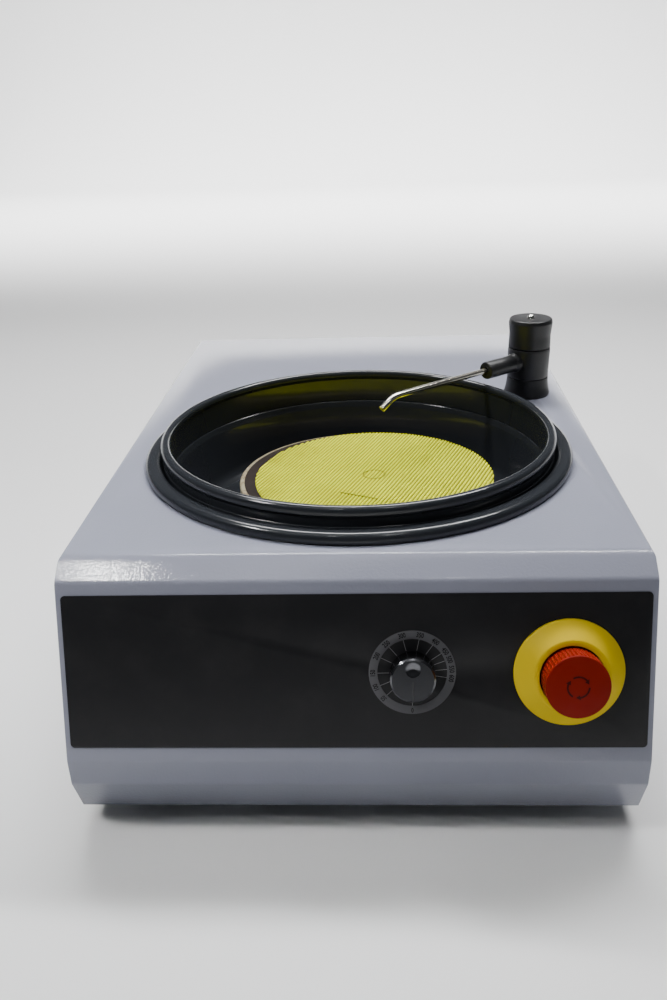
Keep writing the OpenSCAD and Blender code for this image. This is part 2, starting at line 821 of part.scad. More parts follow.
module fuse_holder() {
    color([0.1, 0.1, 0.1]) on_rear(mains_x, fuse_z) difference() {
        union() {
            translate([0, 0, -24]) cylinder(r = 6, h = 25);
            cylinder(r = 8.5, h = 2.5);
            translate([0, 0, 2]) cylinder(r1 = 6.5, r2 = 6, h = 5);
        }
        translate([0, 0, 7]) cube([9, 1.4, 3], true);
    }
}

// Routes of the inner wires and hoses, from the platen's axis in X and Y
wire_routes = [
    [[143, -162, 106], [143, -150, 60], [110, -150, 32], [-100, -150, 32], [-156, -100, 34], [-156, 38, 60]],
    [[39, -194, 118], [38, -176, 70], [0, -165, 42], [-100, -165, 42], [-146, -100, 46], [-146, 38, 76]],
    [[-158, 202, 70], [-156, 235, 86], [-130, 260, 116], [-90, 262, 120]],
    [[-150, 338, 60], [-160, 300, 44], [-160, 240, 40], [-160, 202, 44]],
    [[-150, 348, 105], [-172, 300, 90], [-176, 240, 84], [-176, 202, 84]]];
drain_route = [[64, 111, 122.8], [64, 112, 114], [64, 120, 104], [64, 140, 98], [64, 260, 96], [64, 341, 96]];
water_route = [[162.5, 147, 149], [162, 150, 138], [160, 170, 126], [153, 250, 132], [150, 341, 150]];

module wiring_loom() {
    color([0.6, 0.1, 0.1]) for (route = wire_routes) {
        at_axis() swept_tube(route, 2.5, 8);
    }
}

// ---- Water ----

module drain_hose() {
    color([0.7, 0.72, 0.7]) at_axis() swept_tube(drain_route, 9);
}

module water_hose() {
    color([0.5, 0.6, 0.7]) at_axis() swept_tube(water_route, 5);
}

// A tail for a hose outside, on a slimmer shank that passes through the nut and the panel
module hose_fitting(r, bore) {
    total = fitting_reach + sheet_t;
    difference() {
        union() {
            translate([0, 0, -fitting_inner]) cylinder(r = r - shank_step, h = fitting_inner + hose_nut_h + 1);
            translate([0, 0, hose_nut_h]) cylinder(r = r, h = total - hose_nut_h);
        }
        translate([0, 0, -fitting_inner - 1]) cylinder(r = bore, h = total + fitting_inner + 2);
    }
}

module drain_spigot() {
    color([0.75, 0.76, 0.78]) on_rear(drain_at[0], drain_z) hose_fitting(drain_r, drain_r - 2);
}

module water_inlet() {
    color("goldenrod") on_rear(water_at[0], water_at[1]) hose_fitting(inlet_r, 5);
}

module hose_nuts() {
    color("silver") {
        on_rear(drain_at[0], drain_z) hex_nut(16, drain_r - shank_step, hose_nut_h);
        on_rear(water_at[0], water_at[1]) hex_nut(16, inlet_r - shank_step, hose_nut_h);
    }
}

// ---- Tap ----

module tap_gasket() {
    color([0.08, 0.08, 0.08]) at_tap() ring(21.2, stem_r, 0.8);
}

module tap_base() {
    color([0.13, 0.13, 0.14]) at_tap(0.8) difference() {
        rotate_extrude() polygon([[0, 0], [21.6, 0], [21.9, 1.2], [21, 5], [20.1, 10], [19.6, tap_lines[0] - 1],
            [0, tap_lines[0] - 1]]);
        translate([0, 0, -1]) cylinder(r = stem_r, h = 40);
    }
}

module tap_stem() {
    color("goldenrod") at_tap(-51) difference() {
        cylinder(r = stem_r, h = 51 + tap_h - 12);
        translate([0, 0, -1]) cylinder(r = 4, h = 80);
    }
}

module tap_nut() {
    color("silver") at_tap(-sheet_t - 7) hex_nut(15, stem_r, 7);
}

module tap_body() {
    color([0.14, 0.14, 0.15]) at_tap(tap_lines[0] + 0.3) difference() {
        rotate_extrude() polygon([[0, 0], [19.3, 0], [19.6, 0.6], [19.6, 6], [tap_r, 26], [19.7, 28.4], [0, 28.4]]);
        translate([0, 0, -1]) cylinder(r = stem_r + run_gap, h = 40);
        rotate([90, 0, spout_az + 90]) translate([0, spout_z - tap_lines[0] - 0.3, 13])
            cylinder(r = sleeve_r - 2, h = 20);
    }
}

// Local +Z runs along the spout, away from the tap; local +X points up
module on_spout() {
    at_tap(spout_z) rotate([0, 0, spout_az]) rotate([0, 90, 0]) rotate([0, 0, 180]) children();
}

module spout_sleeve() {
    color([0.12, 0.12, 0.13]) on_spout() difference() {
        union() {
            translate([0, 0, 13]) cylinder(r = sleeve_r - 2, h = 12);
            difference() {
                translate([0, 0, 15]) cylinder(r = sleeve_r, h = sleeve_end - 16);
                rotate([0, 90, 0]) cylinder(r = tap_r + 0.2, h = 60, center = true);
            }
            translate([0, 0, sleeve_end - 1 - eps]) cylinder(r1 = sleeve_r, r2 = sleeve_r - 1, h = 1);
        }
        translate([0, 0, 30]) cylinder(r = spout_r, h = 40);
    }
}

module spout_tube() {
    bend_at = spout_reach - spout_tip * cos(spout_bend) - spout_bend_r * sin(spout_bend);
    color([0.8, 0.78, 0.72]) on_spout() {
        translate([0, 0, 30]) cylinder(r = spout_r, h = bend_at - 30);
        translate([-spout_bend_r, 0, bend_at]) rotate([90, 0, 0])
            rotate_extrude(angle = spout_bend) translate([spout_bend_r, 0]) circle(r = spout_r, $fn = 32);
        translate([-spout_bend_r * (1 - cos(spout_bend)), 0, bend_at + spout_bend_r * sin(spout_bend)])
            rotate([0, -spout_bend, 0]) cylinder(r = spout_r, h = spout_tip);
    }
}

module tap_knob() {
    low = tap_lines[1] + 0.3;
    high = tap_h - low;
    color([0.1, 0.1, 0.11]) at_tap(low) difference() {
        rotate_extrude() polygon([[0, 0], [19.6, 0], [20, 0.8], [19.6, 12], [20.5, 22], [20.6, high - 3],
            [19.4, high - 0.6], [18.4, high], [0, high]]);
        translate([0, 0, -1]) cylinder(r = stem_r + run_gap, h = high - 9);
    }
}

module tap_dome() {
    color("silver") at_tap(tap_h) difference() {
        sphere(r = 3.5);
        translate([0, 0, -5]) cube([20, 20, 10], true);
    }
}

housing_cover();
base_pan();
rear_panel();
housing_screws();
rubber_feet();
foot_screws();
control_film();
dial_ring();
bowl();
bowl_gasket();
splash_ring();
drain_hose();
drain_spigot();
water_inlet();
hose_nuts();
water_hose();
spindle_housing();
spindle_bearings();
spindle_seal();
drive_deck();
deck_pillars();
drive_bolts();
motor_flange();
motor_shell();
motor_end_cap();
motor_bearings();
drive_belt();
controller_box();
power_inlet();
inlet_pins();
switch_frame();
fuse_holder();
tap_gasket();
tap_base();
tap_stem();
tap_nut();
speed_pot();
panel_nuts();
estop_collar();
estop_barrel();
estop_contact_block();
wiring_loom();
spindle_shaft();
spindle_pulley();
platen_hub();
platen();
magnetic_film();
motor_rotor();
motor_pulley();
polishing_disc();
speed_knob();
pot_shaft();
estop_plunger();
estop_head();
tap_body();
spout_sleeve();
spout_tube();
tap_knob();
tap_dome();
mains_rocker();
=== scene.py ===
# %% [markdown]
# A bench flat lap: a polishing disc turns in a splash bowl, and a swivel tap drips water on it.
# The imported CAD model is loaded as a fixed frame. Round pieces are turned again as smooth lathe
# meshes, sheet parts are cleaned copies of the CAD with softened edges, and whatever repeats
# comes from Geometry Nodes. Each finish is a small node material. All lengths are in metres.

# %% Load the frame
import json
import math

import bmesh
import bpy
from mathutils import Matrix, Vector


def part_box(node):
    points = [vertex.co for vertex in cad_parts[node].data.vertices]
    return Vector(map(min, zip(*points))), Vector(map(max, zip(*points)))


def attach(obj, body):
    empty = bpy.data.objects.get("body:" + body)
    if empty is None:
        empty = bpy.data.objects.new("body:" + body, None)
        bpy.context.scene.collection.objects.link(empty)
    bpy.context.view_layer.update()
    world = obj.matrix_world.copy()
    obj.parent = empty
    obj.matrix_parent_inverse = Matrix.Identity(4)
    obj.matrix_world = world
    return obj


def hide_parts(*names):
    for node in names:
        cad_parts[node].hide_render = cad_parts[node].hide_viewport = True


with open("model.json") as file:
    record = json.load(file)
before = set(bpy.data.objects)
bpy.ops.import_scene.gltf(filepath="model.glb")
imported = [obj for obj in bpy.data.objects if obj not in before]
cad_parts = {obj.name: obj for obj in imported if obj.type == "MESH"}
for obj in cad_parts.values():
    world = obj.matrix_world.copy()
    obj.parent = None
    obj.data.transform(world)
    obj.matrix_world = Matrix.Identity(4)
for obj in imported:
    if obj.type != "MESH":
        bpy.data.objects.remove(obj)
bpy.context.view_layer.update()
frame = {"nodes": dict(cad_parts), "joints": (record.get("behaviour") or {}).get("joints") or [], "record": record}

MM = 0.001
scene = bpy.context.scene

# %% [markdown]
# Every piece finds its place from the frame. The platen gives the turning axis, the cover gives the
# height of the top plate, and the joints of the knob and the stop give the sloping front panel's
# direction. Nothing has to be measured twice.

# %% Places taken from the frame
def centre(node):
    low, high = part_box(node)
    return (low + high) / 2


joints = {j["name"]: j for j in frame["joints"]}
PLATE_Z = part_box("housing_cover")[1].z
AXIS = Vector((centre("platen").x, centre("platen").y, PLATE_Z))
TAP = Vector((centre("tap_base").x, centre("tap_base").y, PLATE_Z))
NORMAL = -Vector(joints["speed_turn"]["axis"]).normalized()
UP_SLOPE = NORMAL.cross(Vector((1, 0, 0))).normalized()
KNOB_AT = Vector(joints["speed_turn"]["pos_m"])
STOP_AT = Vector(joints["estop_press"].get("pos_m") or joints["estop_twist"]["pos_m"])


def panel_matrix(origin):
    """Local +Z is the panel's outward normal and local +Y runs up its slope."""
    turn = Matrix((Vector((1, 0, 0)), UP_SLOPE, NORMAL)).transposed().to_4x4()
    return Matrix.Translation(origin) @ turn


print("axis", AXIS, "tap", TAP, "panel normal", NORMAL)

# %% [markdown]
# The camera stands in front of the machine, a little above it and close, so the front looks larger
# than the back. It leans a degree or two, as a hand-held camera does.

# %% Camera
def aim_camera(place, pitch, yaw, roll, lens, shift):
    pitch, yaw, roll = (math.radians(a) for a in (pitch, yaw, roll))
    ahead = Vector((math.sin(yaw) * math.cos(pitch), math.cos(yaw) * math.cos(pitch), -math.sin(pitch)))
    level = Vector((math.cos(yaw), -math.sin(yaw), 0))
    down = ahead.cross(level)
    right = math.cos(roll) * level + math.sin(roll) * down
    down = math.cos(roll) * down - math.sin(roll) * level
    data = bpy.data.cameras.new("camera")
    data.lens = lens
    data.sensor_width = 36
    data.shift_x, data.shift_y = shift
    data.clip_start = 0.01
    camera = bpy.data.objects.new("camera", data)
    camera.matrix_world = Matrix.Translation(place) @ Matrix((right, -down, -ahead)).transposed().to_4x4()
    scene.collection.objects.link(camera)
    scene.camera = camera


aim_camera(
    place=AXIS + Vector((0.0202, -0.7349, 0.2901)),
    pitch=26.53,
    yaw=-2.64,
    roll=1.77,
    lens=33.39,
    shift=(-0.0111, 0.0317),
)

# %% [markdown]
# The studio is a pale floor that curves up into a low wall far behind the machine, so the camera in
# front sees no horizon. A soft box and a thin strip hang overhead, one lamp lights the wall, and little light comes
# from the front: the top is bright and the sloping front stays in the shade. Six small ceiling lamps,
# a lamp at the left and two over the front give the rolled rim, the bowl's shoulder and the bends of
# the housing their short bright glints.

# %% Floor and light
def area_light(name, place, target, size, power, colour=(1, 1, 1), spread=180):
    data = bpy.data.lights.new(name, "AREA")
    data.spread = math.radians(spread)
    data.shape = "RECTANGLE"
    data.size, data.size_y = size
    data.energy = power
    data.color = colour
    light = bpy.data.objects.new(name, data)
    light.location = place
    light.rotation_euler = (Vector(target) - Vector(place)).to_track_quat("-Z", "Y").to_euler()
    scene.collection.objects.link(light)


world = bpy.data.worlds.new("pale_room")
scene.world = world
world.use_nodes = True
world.node_tree.nodes["Background"].inputs["Color"].default_value = (0.9, 0.93, 1.0, 1)
world.node_tree.nodes["Background"].inputs["Strength"].default_value = 0.07
area_light("soft_box", (0.1, 0.7, 1.85), (0, 0.1, 0.0), (1.9, 0.2), 46, spread=150)
area_light("top_strip", (0.15, -0.3, 2.2), (0, 0, 0.1), (2.4, 0.08), 5)
area_light("wall_lamp", (0, 2.0, 2.6), (0, 3.4, 0.0), (5.0, 0.5), 200, spread=85)
area_light("band_lamp", (-1.19, -0.55, 1.69), (-0.2, -0.26, 0.19), (0.24, 0.10), 1.6, spread=50)
for x, width in ((-0.35, 0.2), (0.5, 0.3)):
    area_light("lip_lamp", (x, -1.1, 2.2), (0, -0.26, 0.19), (width, 0.03), 0.5 * width, spread=40)
for i in range(6):
    area_light(f"ceiling_lamp_{i}", (-0.9 + 0.42 * i, 0.75, 2.1), (0, 0, 0.2), (0.2, 0.05), 1.6)
print(len(bpy.data.lights), "lamps")

# %% [markdown]
# The floor and its wall are one strip. Its side view is two straight stretches joined by an arc, and
# it lies half a millimetre below the feet.

# %% Floor
FLOOR_HALF, WALL_Y, WALL_R, WALL_TOP = 9.0, 4.6, 0.8, 0.95
ARC_STEPS = 12


def floor_strip():
    side_view = [(-FLOOR_HALF, 0.0), (WALL_Y - WALL_R, 0.0)]
    for k in range(1, ARC_STEPS + 1):
        a = math.radians(90 * k / ARC_STEPS)
        side_view.append((WALL_Y - WALL_R + WALL_R * math.sin(a), WALL_R * (1 - math.cos(a))))
    side_view.append((WALL_Y, WALL_TOP))
    n = len(side_view)
    mesh = bpy.data.meshes.new("floor")
    mesh.from_pydata([(x, y, z) for x in (-FLOOR_HALF, FLOOR_HALF) for y, z in side_view], [],
                     [(k, k + n, k + 1 + n, k + 1) for k in range(n - 1)])
    mesh.shade_smooth()
    return mesh


floor = bpy.data.objects.new("floor", floor_strip())
floor.location.z = -0.0005
scene.collection.objects.link(floor)

# %% [markdown]
# Effects that several finishes share are shader node groups. Each has plain named inputs and puts out
# a colour, a roughness and a height. The material itself holds the shader and one Bump node, so the
# same grain can be coarse on a rubber foot and almost invisible on the front film.

# %% Helpers for shader nodes
def new_group(name, inputs, outputs):
    """A shader node group with its two end nodes. Sockets are (name, type, default)."""
    tree = bpy.data.node_groups.new(name, "ShaderNodeTree")
    for label, kind, default in inputs:
        socket = tree.interface.new_socket(name=label, in_out="INPUT", socket_type=kind)
        socket.default_value = default
    for label, kind in outputs:
        tree.interface.new_socket(name=label, in_out="OUTPUT", socket_type=kind)
    return tree, tree.nodes.new("NodeGroupInput"), tree.nodes.new("NodeGroupOutput")


def math_node(tree, operation, a, b=None, clamp=False):
    node = tree.nodes.new("ShaderNodeMath")
    node.operation = operation
    node.use_clamp = clamp
    for socket, value in zip(node.inputs, (a, b)):
        if value is None:
            continue
        if isinstance(value, (int, float)):
            socket.default_value = value
        else:
            tree.links.new(value, socket)
    return node.outputs[0]


def noise_node(tree, vector, scale, detail=2.0, roughness=0.5):
    node = tree.nodes.new("ShaderNodeTexNoise")
    node.inputs["Detail"].default_value = detail
    node.inputs["Roughness"].default_value = roughness
    tree.links.new(vector, node.inputs["Vector"])
    if isinstance(scale, (int, float)):
        node.inputs["Scale"].default_value = scale
    else:
        tree.links.new(scale, node.inputs["Scale"])
    return node.outputs["Fac"]


def ramp_node(tree, value, low, high, to_low=0.0, to_high=1.0):
    node = tree.nodes.new("ShaderNodeMapRange")
    tree.links.new(value, node.inputs["Value"])
    for label, number in (("From Min", low), ("From Max", high), ("To Min", to_low), ("To Max", to_high)):
        node.inputs[label].default_value = number
    return node.outputs["Result"]


def mix_colour(tree, amount, a, b):
    node = tree.nodes.new("ShaderNodeMix")
    node.data_type = "RGBA"
    sockets = {s.identifier: s for s in node.inputs}
    for key, value in (("Factor_Float", amount), ("A_Color", a), ("B_Color", b)):
        if isinstance(value, (int, float)):
            sockets[key].default_value = value
        elif isinstance(value, tuple):
            sockets[key].default_value = (*value, 1.0) if len(value) == 3 else value
        else:
            tree.links.new(value, sockets[key])
    return next(s for s in node.outputs if s.identifier == "Result_Color")


# %% [markdown]
# Moulded and painted surfaces: a fine grain for the bump, broad soft blotches that shift the colour a
# little, and a thin uneven layer of dust or handling that makes some places duller.

# %% Group: coated surface
COATED_IN = [
    ("Vector", "NodeSocketVector", (0, 0, 0)),
    ("Colour", "NodeSocketColor", (0.5, 0.5, 0.5, 1)),
    ("Soil Colour", "NodeSocketColor", (0.4, 0.38, 0.35, 1)),
    ("Grain Scale", "NodeSocketFloat", 900.0),
    ("Blotch", "NodeSocketFloat", 0.05),
    ("Soil", "NodeSocketFloat", 0.05),
    ("Roughness", "NodeSocketFloat", 0.4),
    ("Unevenness", "NodeSocketFloat", 0.08),
]
SURFACE_OUT = [("Colour", "NodeSocketColor"), ("Roughness", "NodeSocketFloat"),
               ("Height", "NodeSocketFloat")]


def coated_group():
    tree, start, end = new_group("coated_surface", COATED_IN, SURFACE_OUT)
    vector = start.outputs["Vector"]
    grain = noise_node(tree, vector, start.outputs["Grain Scale"], 3.0, 0.55)
    blotch = noise_node(tree, vector, 9.0, 4.0, 0.6)
    smear = noise_node(tree, vector, 34.0, 5.0, 0.65)
    shade = ramp_node(tree, blotch, 0.3, 0.7, -1.0, 1.0)
    darker = mix_colour(tree, math_node(tree, "MULTIPLY", shade, start.outputs["Blotch"], True),
                        start.outputs["Colour"], (0.0, 0.0, 0.0))
    soil = math_node(tree, "MULTIPLY", ramp_node(tree, smear, 0.45, 0.75), start.outputs["Soil"], True)
    soiled = mix_colour(tree, soil, darker, start.outputs["Soil Colour"])
    swing = math_node(tree, "MULTIPLY", math_node(tree, "SUBTRACT", smear, 0.5), start.outputs["Unevenness"])
    rough = math_node(tree, "ADD", start.outputs["Roughness"], math_node(tree, "MULTIPLY", swing, 2.0), True)
    tree.links.new(soiled, end.inputs["Colour"])
    tree.links.new(rough, end.inputs["Roughness"])
    tree.links.new(grain, end.inputs["Height"])
    return tree


COATED = coated_group()

# %% [markdown]
# Metal from a lathe keeps fine concentric lines. The lathe pieces below carry a UV map whose V runs
# along the turned outline, so waves along V are the tool marks. Straight metal uses object space
# instead, stretched so that the lines run one way.

# %% Group: machined metal
METAL_IN = [
    ("Vector", "NodeSocketVector", (0, 0, 0)),
    ("Colour", "NodeSocketColor", (0.6, 0.6, 0.6, 1)),
    ("Stain Colour", "NodeSocketColor", (0.2, 0.12, 0.06, 1)),
    ("Line Scale", "NodeSocketFloat", 1.0),
    ("Stain", "NodeSocketFloat", 0.0),
    ("Roughness", "NodeSocketFloat", 0.3),
]


def metal_group():
    tree, start, end = new_group("machined_metal", METAL_IN, SURFACE_OUT)
    coords = tree.nodes.new("ShaderNodeTexCoord")
    stretch = tree.nodes.new("ShaderNodeVectorMath")
    stretch.operation = "MULTIPLY"
    tree.links.new(start.outputs["Vector"], stretch.inputs[0])
    stretch.inputs[1].default_value = (0.6, 9000.0, 9000.0)
    lines = noise_node(tree, stretch.outputs[0], start.outputs["Line Scale"], 2.0, 0.7)
    cloud = noise_node(tree, coords.outputs["Object"], 70.0, 6.0, 0.7)
    speck = noise_node(tree, coords.outputs["Object"], 600.0, 3.0, 0.6)
    patch = ramp_node(tree, cloud, 0.45, 0.62)
    patch = math_node(tree, "MULTIPLY", patch, ramp_node(tree, speck, 0.35, 0.6))
    stain = math_node(tree, "MULTIPLY", patch, start.outputs["Stain"], True)
    colour = mix_colour(tree, stain, start.outputs["Colour"], start.outputs["Stain Colour"])
    lined = math_node(tree, "MULTIPLY", math_node(tree, "SUBTRACT", lines, 0.5), 0.22)
    rough = math_node(tree, "ADD", start.outputs["Roughness"], lined)
    rough = math_node(tree, "ADD", rough, math_node(tree, "MULTIPLY", stain, 0.45), True)
    tree.links.new(colour, end.inputs["Colour"])
    tree.links.new(rough, end.inputs["Roughness"])
    tree.links.new(lines, end.inputs["Height"])
    return tree


METAL = metal_group()

# %% [markdown]
# One builder puts a group, a Bump node and the shader together. Numbers that are the same all over,
# such as the coat or the metallic value, are set on the shader's own sockets.

# %% Material builder
MATERIALS = {}


def finish(name, group, colour, bump, depth, space="Object", shader=None, **values):
    """A material that shows one group. values are the group's inputs, shader the fixed shader values."""
    material = bpy.data.materials.new(name)
    material.use_nodes = True
    tree = material.node_tree
    principled = tree.nodes["Principled BSDF"]
    coords = tree.nodes.new("ShaderNodeTexCoord")
    node = tree.nodes.new("ShaderNodeGroup")
    node.node_tree = group
    tree.links.new(coords.outputs[space], node.inputs["Vector"])
    node.inputs["Colour"].default_value = (*colour, 1)
    for label, value in values.items():
        socket = node.inputs[label.replace("_", " ").title()]
        socket.default_value = (*value, 1) if isinstance(value, tuple) else value
    relief = tree.nodes.new("ShaderNodeBump")
    relief.inputs["Strength"].default_value = bump
    relief.inputs["Distance"].default_value = depth
    tree.links.new(node.outputs["Height"], relief.inputs["Height"])
    tree.links.new(node.outputs["Colour"], principled.inputs["Base Color"])
    tree.links.new(node.outputs["Roughness"], principled.inputs["Roughness"])
    tree.links.new(relief.outputs["Normal"], principled.inputs["Normal"])
    for label, value in (shader or {}).items():
        principled.inputs[label].default_value = value
    MATERIALS[name] = material
    return material


# %% [markdown]
# The finishes. The body is a glossy blue-grey powder coat with an orange peel that breaks up its
# glints. The bowl and the splash ring are glossy charcoal plastic, and the tap is a duller plastic of
# the same colour. GLOSS, DULL and METALLIC are the shader values that several finishes share.

# %% Finishes
GLOSS = {"Coat Weight": 0.3, "Coat Roughness": 0.05, "Specular IOR Level": 0.25}
DULL = {"Specular IOR Level": 0.12}
METALLIC = {"Metallic": 1.0}
finish("powder_coat", COATED, (0.27, 0.28, 0.345), 0.75, 0.00024, grain_scale=520.0, blotch=0.03, soil=0.02,
       roughness=0.11, unevenness=0.03, shader={"Specular IOR Level": 0.4})
finish("pan_paint", COATED, (0.17, 0.18, 0.2), 0.3, 0.00012, grain_scale=500.0, blotch=0.05, soil=0.12,
       roughness=0.5)
finish("film_black", COATED, (0.006, 0.006, 0.0075), 0.12, 0.00005, grain_scale=2600.0, blotch=0.04,
       soil=0.012, roughness=0.52, unevenness=0.05, shader={"Specular IOR Level": 0.3})
finish("dial_grey", COATED, (0.095, 0.095, 0.102), 0.1, 0.00004, grain_scale=2400.0, roughness=0.6,
       shader=DULL)
finish("dial_dark", COATED, (0.0015, 0.0015, 0.002), 0.1, 0.00003, grain_scale=2400.0, soil=0.0,
       roughness=0.6, shader=DULL)
finish("dial_line", COATED, (0.22, 0.22, 0.23), 0.1, 0.00003, grain_scale=2400.0, roughness=0.5)
finish("bowl_plastic", COATED, (0.021, 0.0235, 0.028), 0.06, 0.00004, grain_scale=240.0, blotch=0.04,
       soil=0.012, soil_colour=(0.06, 0.065, 0.07), roughness=0.2, unevenness=0.05, shader=GLOSS)
finish("tap_plastic", COATED, (0.0125, 0.0128, 0.0145), 0.2, 0.00006, grain_scale=1500.0, blotch=0.05,
       soil=0.03, roughness=0.42, unevenness=0.08)
finish("black_plastic", COATED, (0.012, 0.012, 0.012), 0.25, 0.00006, grain_scale=1400.0, roughness=0.45)
finish("rubber", COATED, (0.012, 0.012, 0.012), 0.5, 0.0001, grain_scale=1100.0, soil=0.2, roughness=0.75)
finish("collar_yellow", COATED, (0.72, 0.52, 0.0), 0.14, 0.00006, grain_scale=1300.0, blotch=0.05, soil=0.02,
       roughness=0.5, unevenness=0.06, shader=DULL)
finish("stop_red", COATED, (0.22, 0.006, 0.001), 0.16, 0.00006, grain_scale=1500.0, blotch=0.08, soil=0.01,
       roughness=0.5, unevenness=0.06, shader=DULL)
# This darker red is painted shade. It stands in for the shade inside the engraved arrows of the stop head.
finish("stop_red_dark", COATED, (0.045, 0.002, 0.001), 0.1, 0.00004, grain_scale=1500.0, roughness=0.6,
       shader=DULL)
finish("hose", COATED, (0.42, 0.44, 0.42), 0.2, 0.0001, grain_scale=800.0, roughness=0.5)
finish("wire", COATED, (0.22, 0.02, 0.015), 0.2, 0.00005, grain_scale=1200.0, roughness=0.45)
finish("dark_screws", METAL, (0.10, 0.10, 0.105), 0.2, 0.00003, line_scale=0.4, stain=0.1, roughness=0.36,
       shader=METALLIC)
finish("steel", METAL, (0.52, 0.52, 0.53), 0.2, 0.00003, line_scale=0.4, roughness=0.3, shader=METALLIC)
finish("spigot_steel", METAL, (0.58, 0.58, 0.58), 0.15, 0.00003, space="UV", line_scale=0.3, roughness=0.24,
       shader=METALLIC)
finish("brass", METAL, (0.62, 0.44, 0.16), 0.15, 0.00003, space="UV", line_scale=0.3, stain=0.15,
       roughness=0.3, shader=METALLIC)
finish("cast_aluminium", METAL, (0.55, 0.55, 0.56), 0.4, 0.0001, line_scale=0.05, roughness=0.45,
       shader=METALLIC)
finish("pin_nickel", METAL, (0.62, 0.61, 0.57), 0.1, 0.00002, line_scale=0.3, roughness=0.2, shader=METALLIC)
finish("spout_metal", METAL, (0.80, 0.76, 0.66), 0.1, 0.00002, space="UV", line_scale=0.2, stain=0.12,
       roughness=0.16, shader=METALLIC)
finish("dome_metal", METAL, (0.85, 0.84, 0.78), 0.05, 0.00002, space="UV", line_scale=0.2, roughness=0.12,
       shader=METALLIC)
finish("knob_metal", METAL, (0.13, 0.132, 0.142), 0.25, 0.00003, space="UV", line_scale=0.8, roughness=0.22,
       shader={"Metallic": 1.0, "Anisotropic": 0.6})
finish("knob_line", METAL, (0.05, 0.05, 0.05), 0.1, 0.00002, line_scale=0.4, roughness=0.5)
finish("platen_metal", METAL, (0.42, 0.37, 0.25), 0.3, 0.00006, space="UV", line_scale=0.25, stain=0.85,
       stain_colour=(0.10, 0.05, 0.015), roughness=0.4, shader={"Metallic": 0.7})
finish("film_brown", COATED, (0.020, 0.014, 0.012), 0.35, 0.0001, grain_scale=700.0, blotch=0.35, soil=0.25,
       soil_colour=(0.05, 0.035, 0.028), roughness=0.62, unevenness=0.2, shader={"Specular IOR Level": 0.1})
finish("floor_white", COATED, (0.86, 0.86, 0.86), 0.02, 0.0001, grain_scale=300.0, blotch=0.0, soil=0.0,
       roughness=0.8)
floor.data.materials.append(MATERIALS["floor_white"])

# %% [markdown]
# The polishing disc is a woven-looking ribbed pad. The ribs themselves are geometry, so the finish only
# adds what sits on them: fine marks across the ribs, and soft blotches where the pad is worn.

# %% Disc finish
DISC_TURN = math.radians(69)


def disc_finish():
    material = finish("disc_yellow", COATED, (0.74, 0.77, 0.004), 0.5, 0.00015, grain_scale=1600.0,
                      blotch=0.3, soil=0.25, soil_colour=(0.36, 0.34, 0.02), roughness=0.7,
                      unevenness=0.1, shader=DULL)
    tree = material.node_tree
    principled = tree.nodes["Principled BSDF"]
    group = next(n for n in tree.nodes if n.type == "GROUP")
    coords = next(n for n in tree.nodes if n.type == "TEX_COORD")
    turn = tree.nodes.new("ShaderNodeMapping")
    turn.inputs["Rotation"].default_value = (0, 0, -DISC_TURN)
    tree.links.new(coords.outputs["Object"], turn.inputs["Vector"])
    marks = tree.nodes.new("ShaderNodeTexWave")
    marks.wave_type = "BANDS"
    marks.bands_direction = "X"
    marks.inputs["Scale"].default_value = 210.0
    marks.inputs["Distortion"].default_value = 2.2
    marks.inputs["Detail"].default_value = 1.0
    marks.inputs["Detail Scale"].default_value = 3.0
    tree.links.new(turn.outputs["Vector"], marks.inputs["Vector"])
    dark = mix_colour(tree, ramp_node(tree, marks.outputs["Fac"], 0.25, 0.0, 0.0, 0.35),
                      group.outputs["Colour"], (0.30, 0.29, 0.03))
    tree.links.new(dark, principled.inputs["Base Color"])
    height = math_node(tree, "ADD", group.outputs["Height"], marks.outputs["Fac"])
    relief = next(n for n in tree.nodes if n.type == "BUMP")
    tree.links.new(height, relief.inputs["Height"])


disc_finish()
# The pad's dark olive is painted shade in the gaps between the ribs. The ring and line marks on the disc use the
# same finish.
finish("disc_groove", COATED, (0.13, 0.13, 0.004), 0.4, 0.0001, grain_scale=1600.0, blotch=0.2, soil=0.3,
       soil_colour=(0.08, 0.075, 0.005), roughness=0.8, shader=DULL)
print(len(MATERIALS), "finishes")

# %% [markdown]
# A few helpers make the meshes. fillet rounds the corners of an outline, closed_mesh turns all faces
# outward, and add_piece puts a mesh on its body, gives it its finish and hides the CAD nodes it
# stands in for.

# %% Helpers for meshes
def fillet(points, radii, steps=6):
    """A closed outline with each corner rounded by the radius in radii, 0 for a sharp one."""
    count = len(points)
    result = []
    for i, radius in enumerate(radii):
        here = Vector(points[i])
        to_last = (Vector(points[i - 1]) - here).normalized()
        to_next = (Vector(points[(i + 1) % count]) - here).normalized()
        half = to_last.angle(to_next) / 2
        if radius == 0 or half > 1.56:
            result.append(tuple(here))
            continue
        middle = here + (to_last + to_next).normalized() * (radius / math.sin(half))
        first = here + to_last * (radius / math.tan(half)) - middle
        last = here + to_next * (radius / math.tan(half)) - middle
        sweep = math.atan2(first.cross(last), first.dot(last))
        for k in range(steps + 1):
            angle = sweep * k / steps
            c, s = math.cos(angle), math.sin(angle)
            result.append((middle.x + first.x * c - first.y * s, middle.y + first.x * s + first.y * c))
    return result


def add_piece(name, mesh, body, material, replaces=()):
    """Meshes from Geometry Nodes bring their material along, and pass None here."""
    piece = bpy.data.objects.new(name, mesh)
    scene.collection.objects.link(piece)
    if material is not None:
        mesh.materials.clear()
        mesh.materials.append(MATERIALS[material])
    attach(piece, body)
    if replaces:
        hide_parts(*replaces)
    print(name, len(mesh.polygons), "faces on", body)


def soften(mesh, angle=32):
    mesh.shade_smooth()
    mesh.set_sharp_from_angle(angle=math.radians(angle))


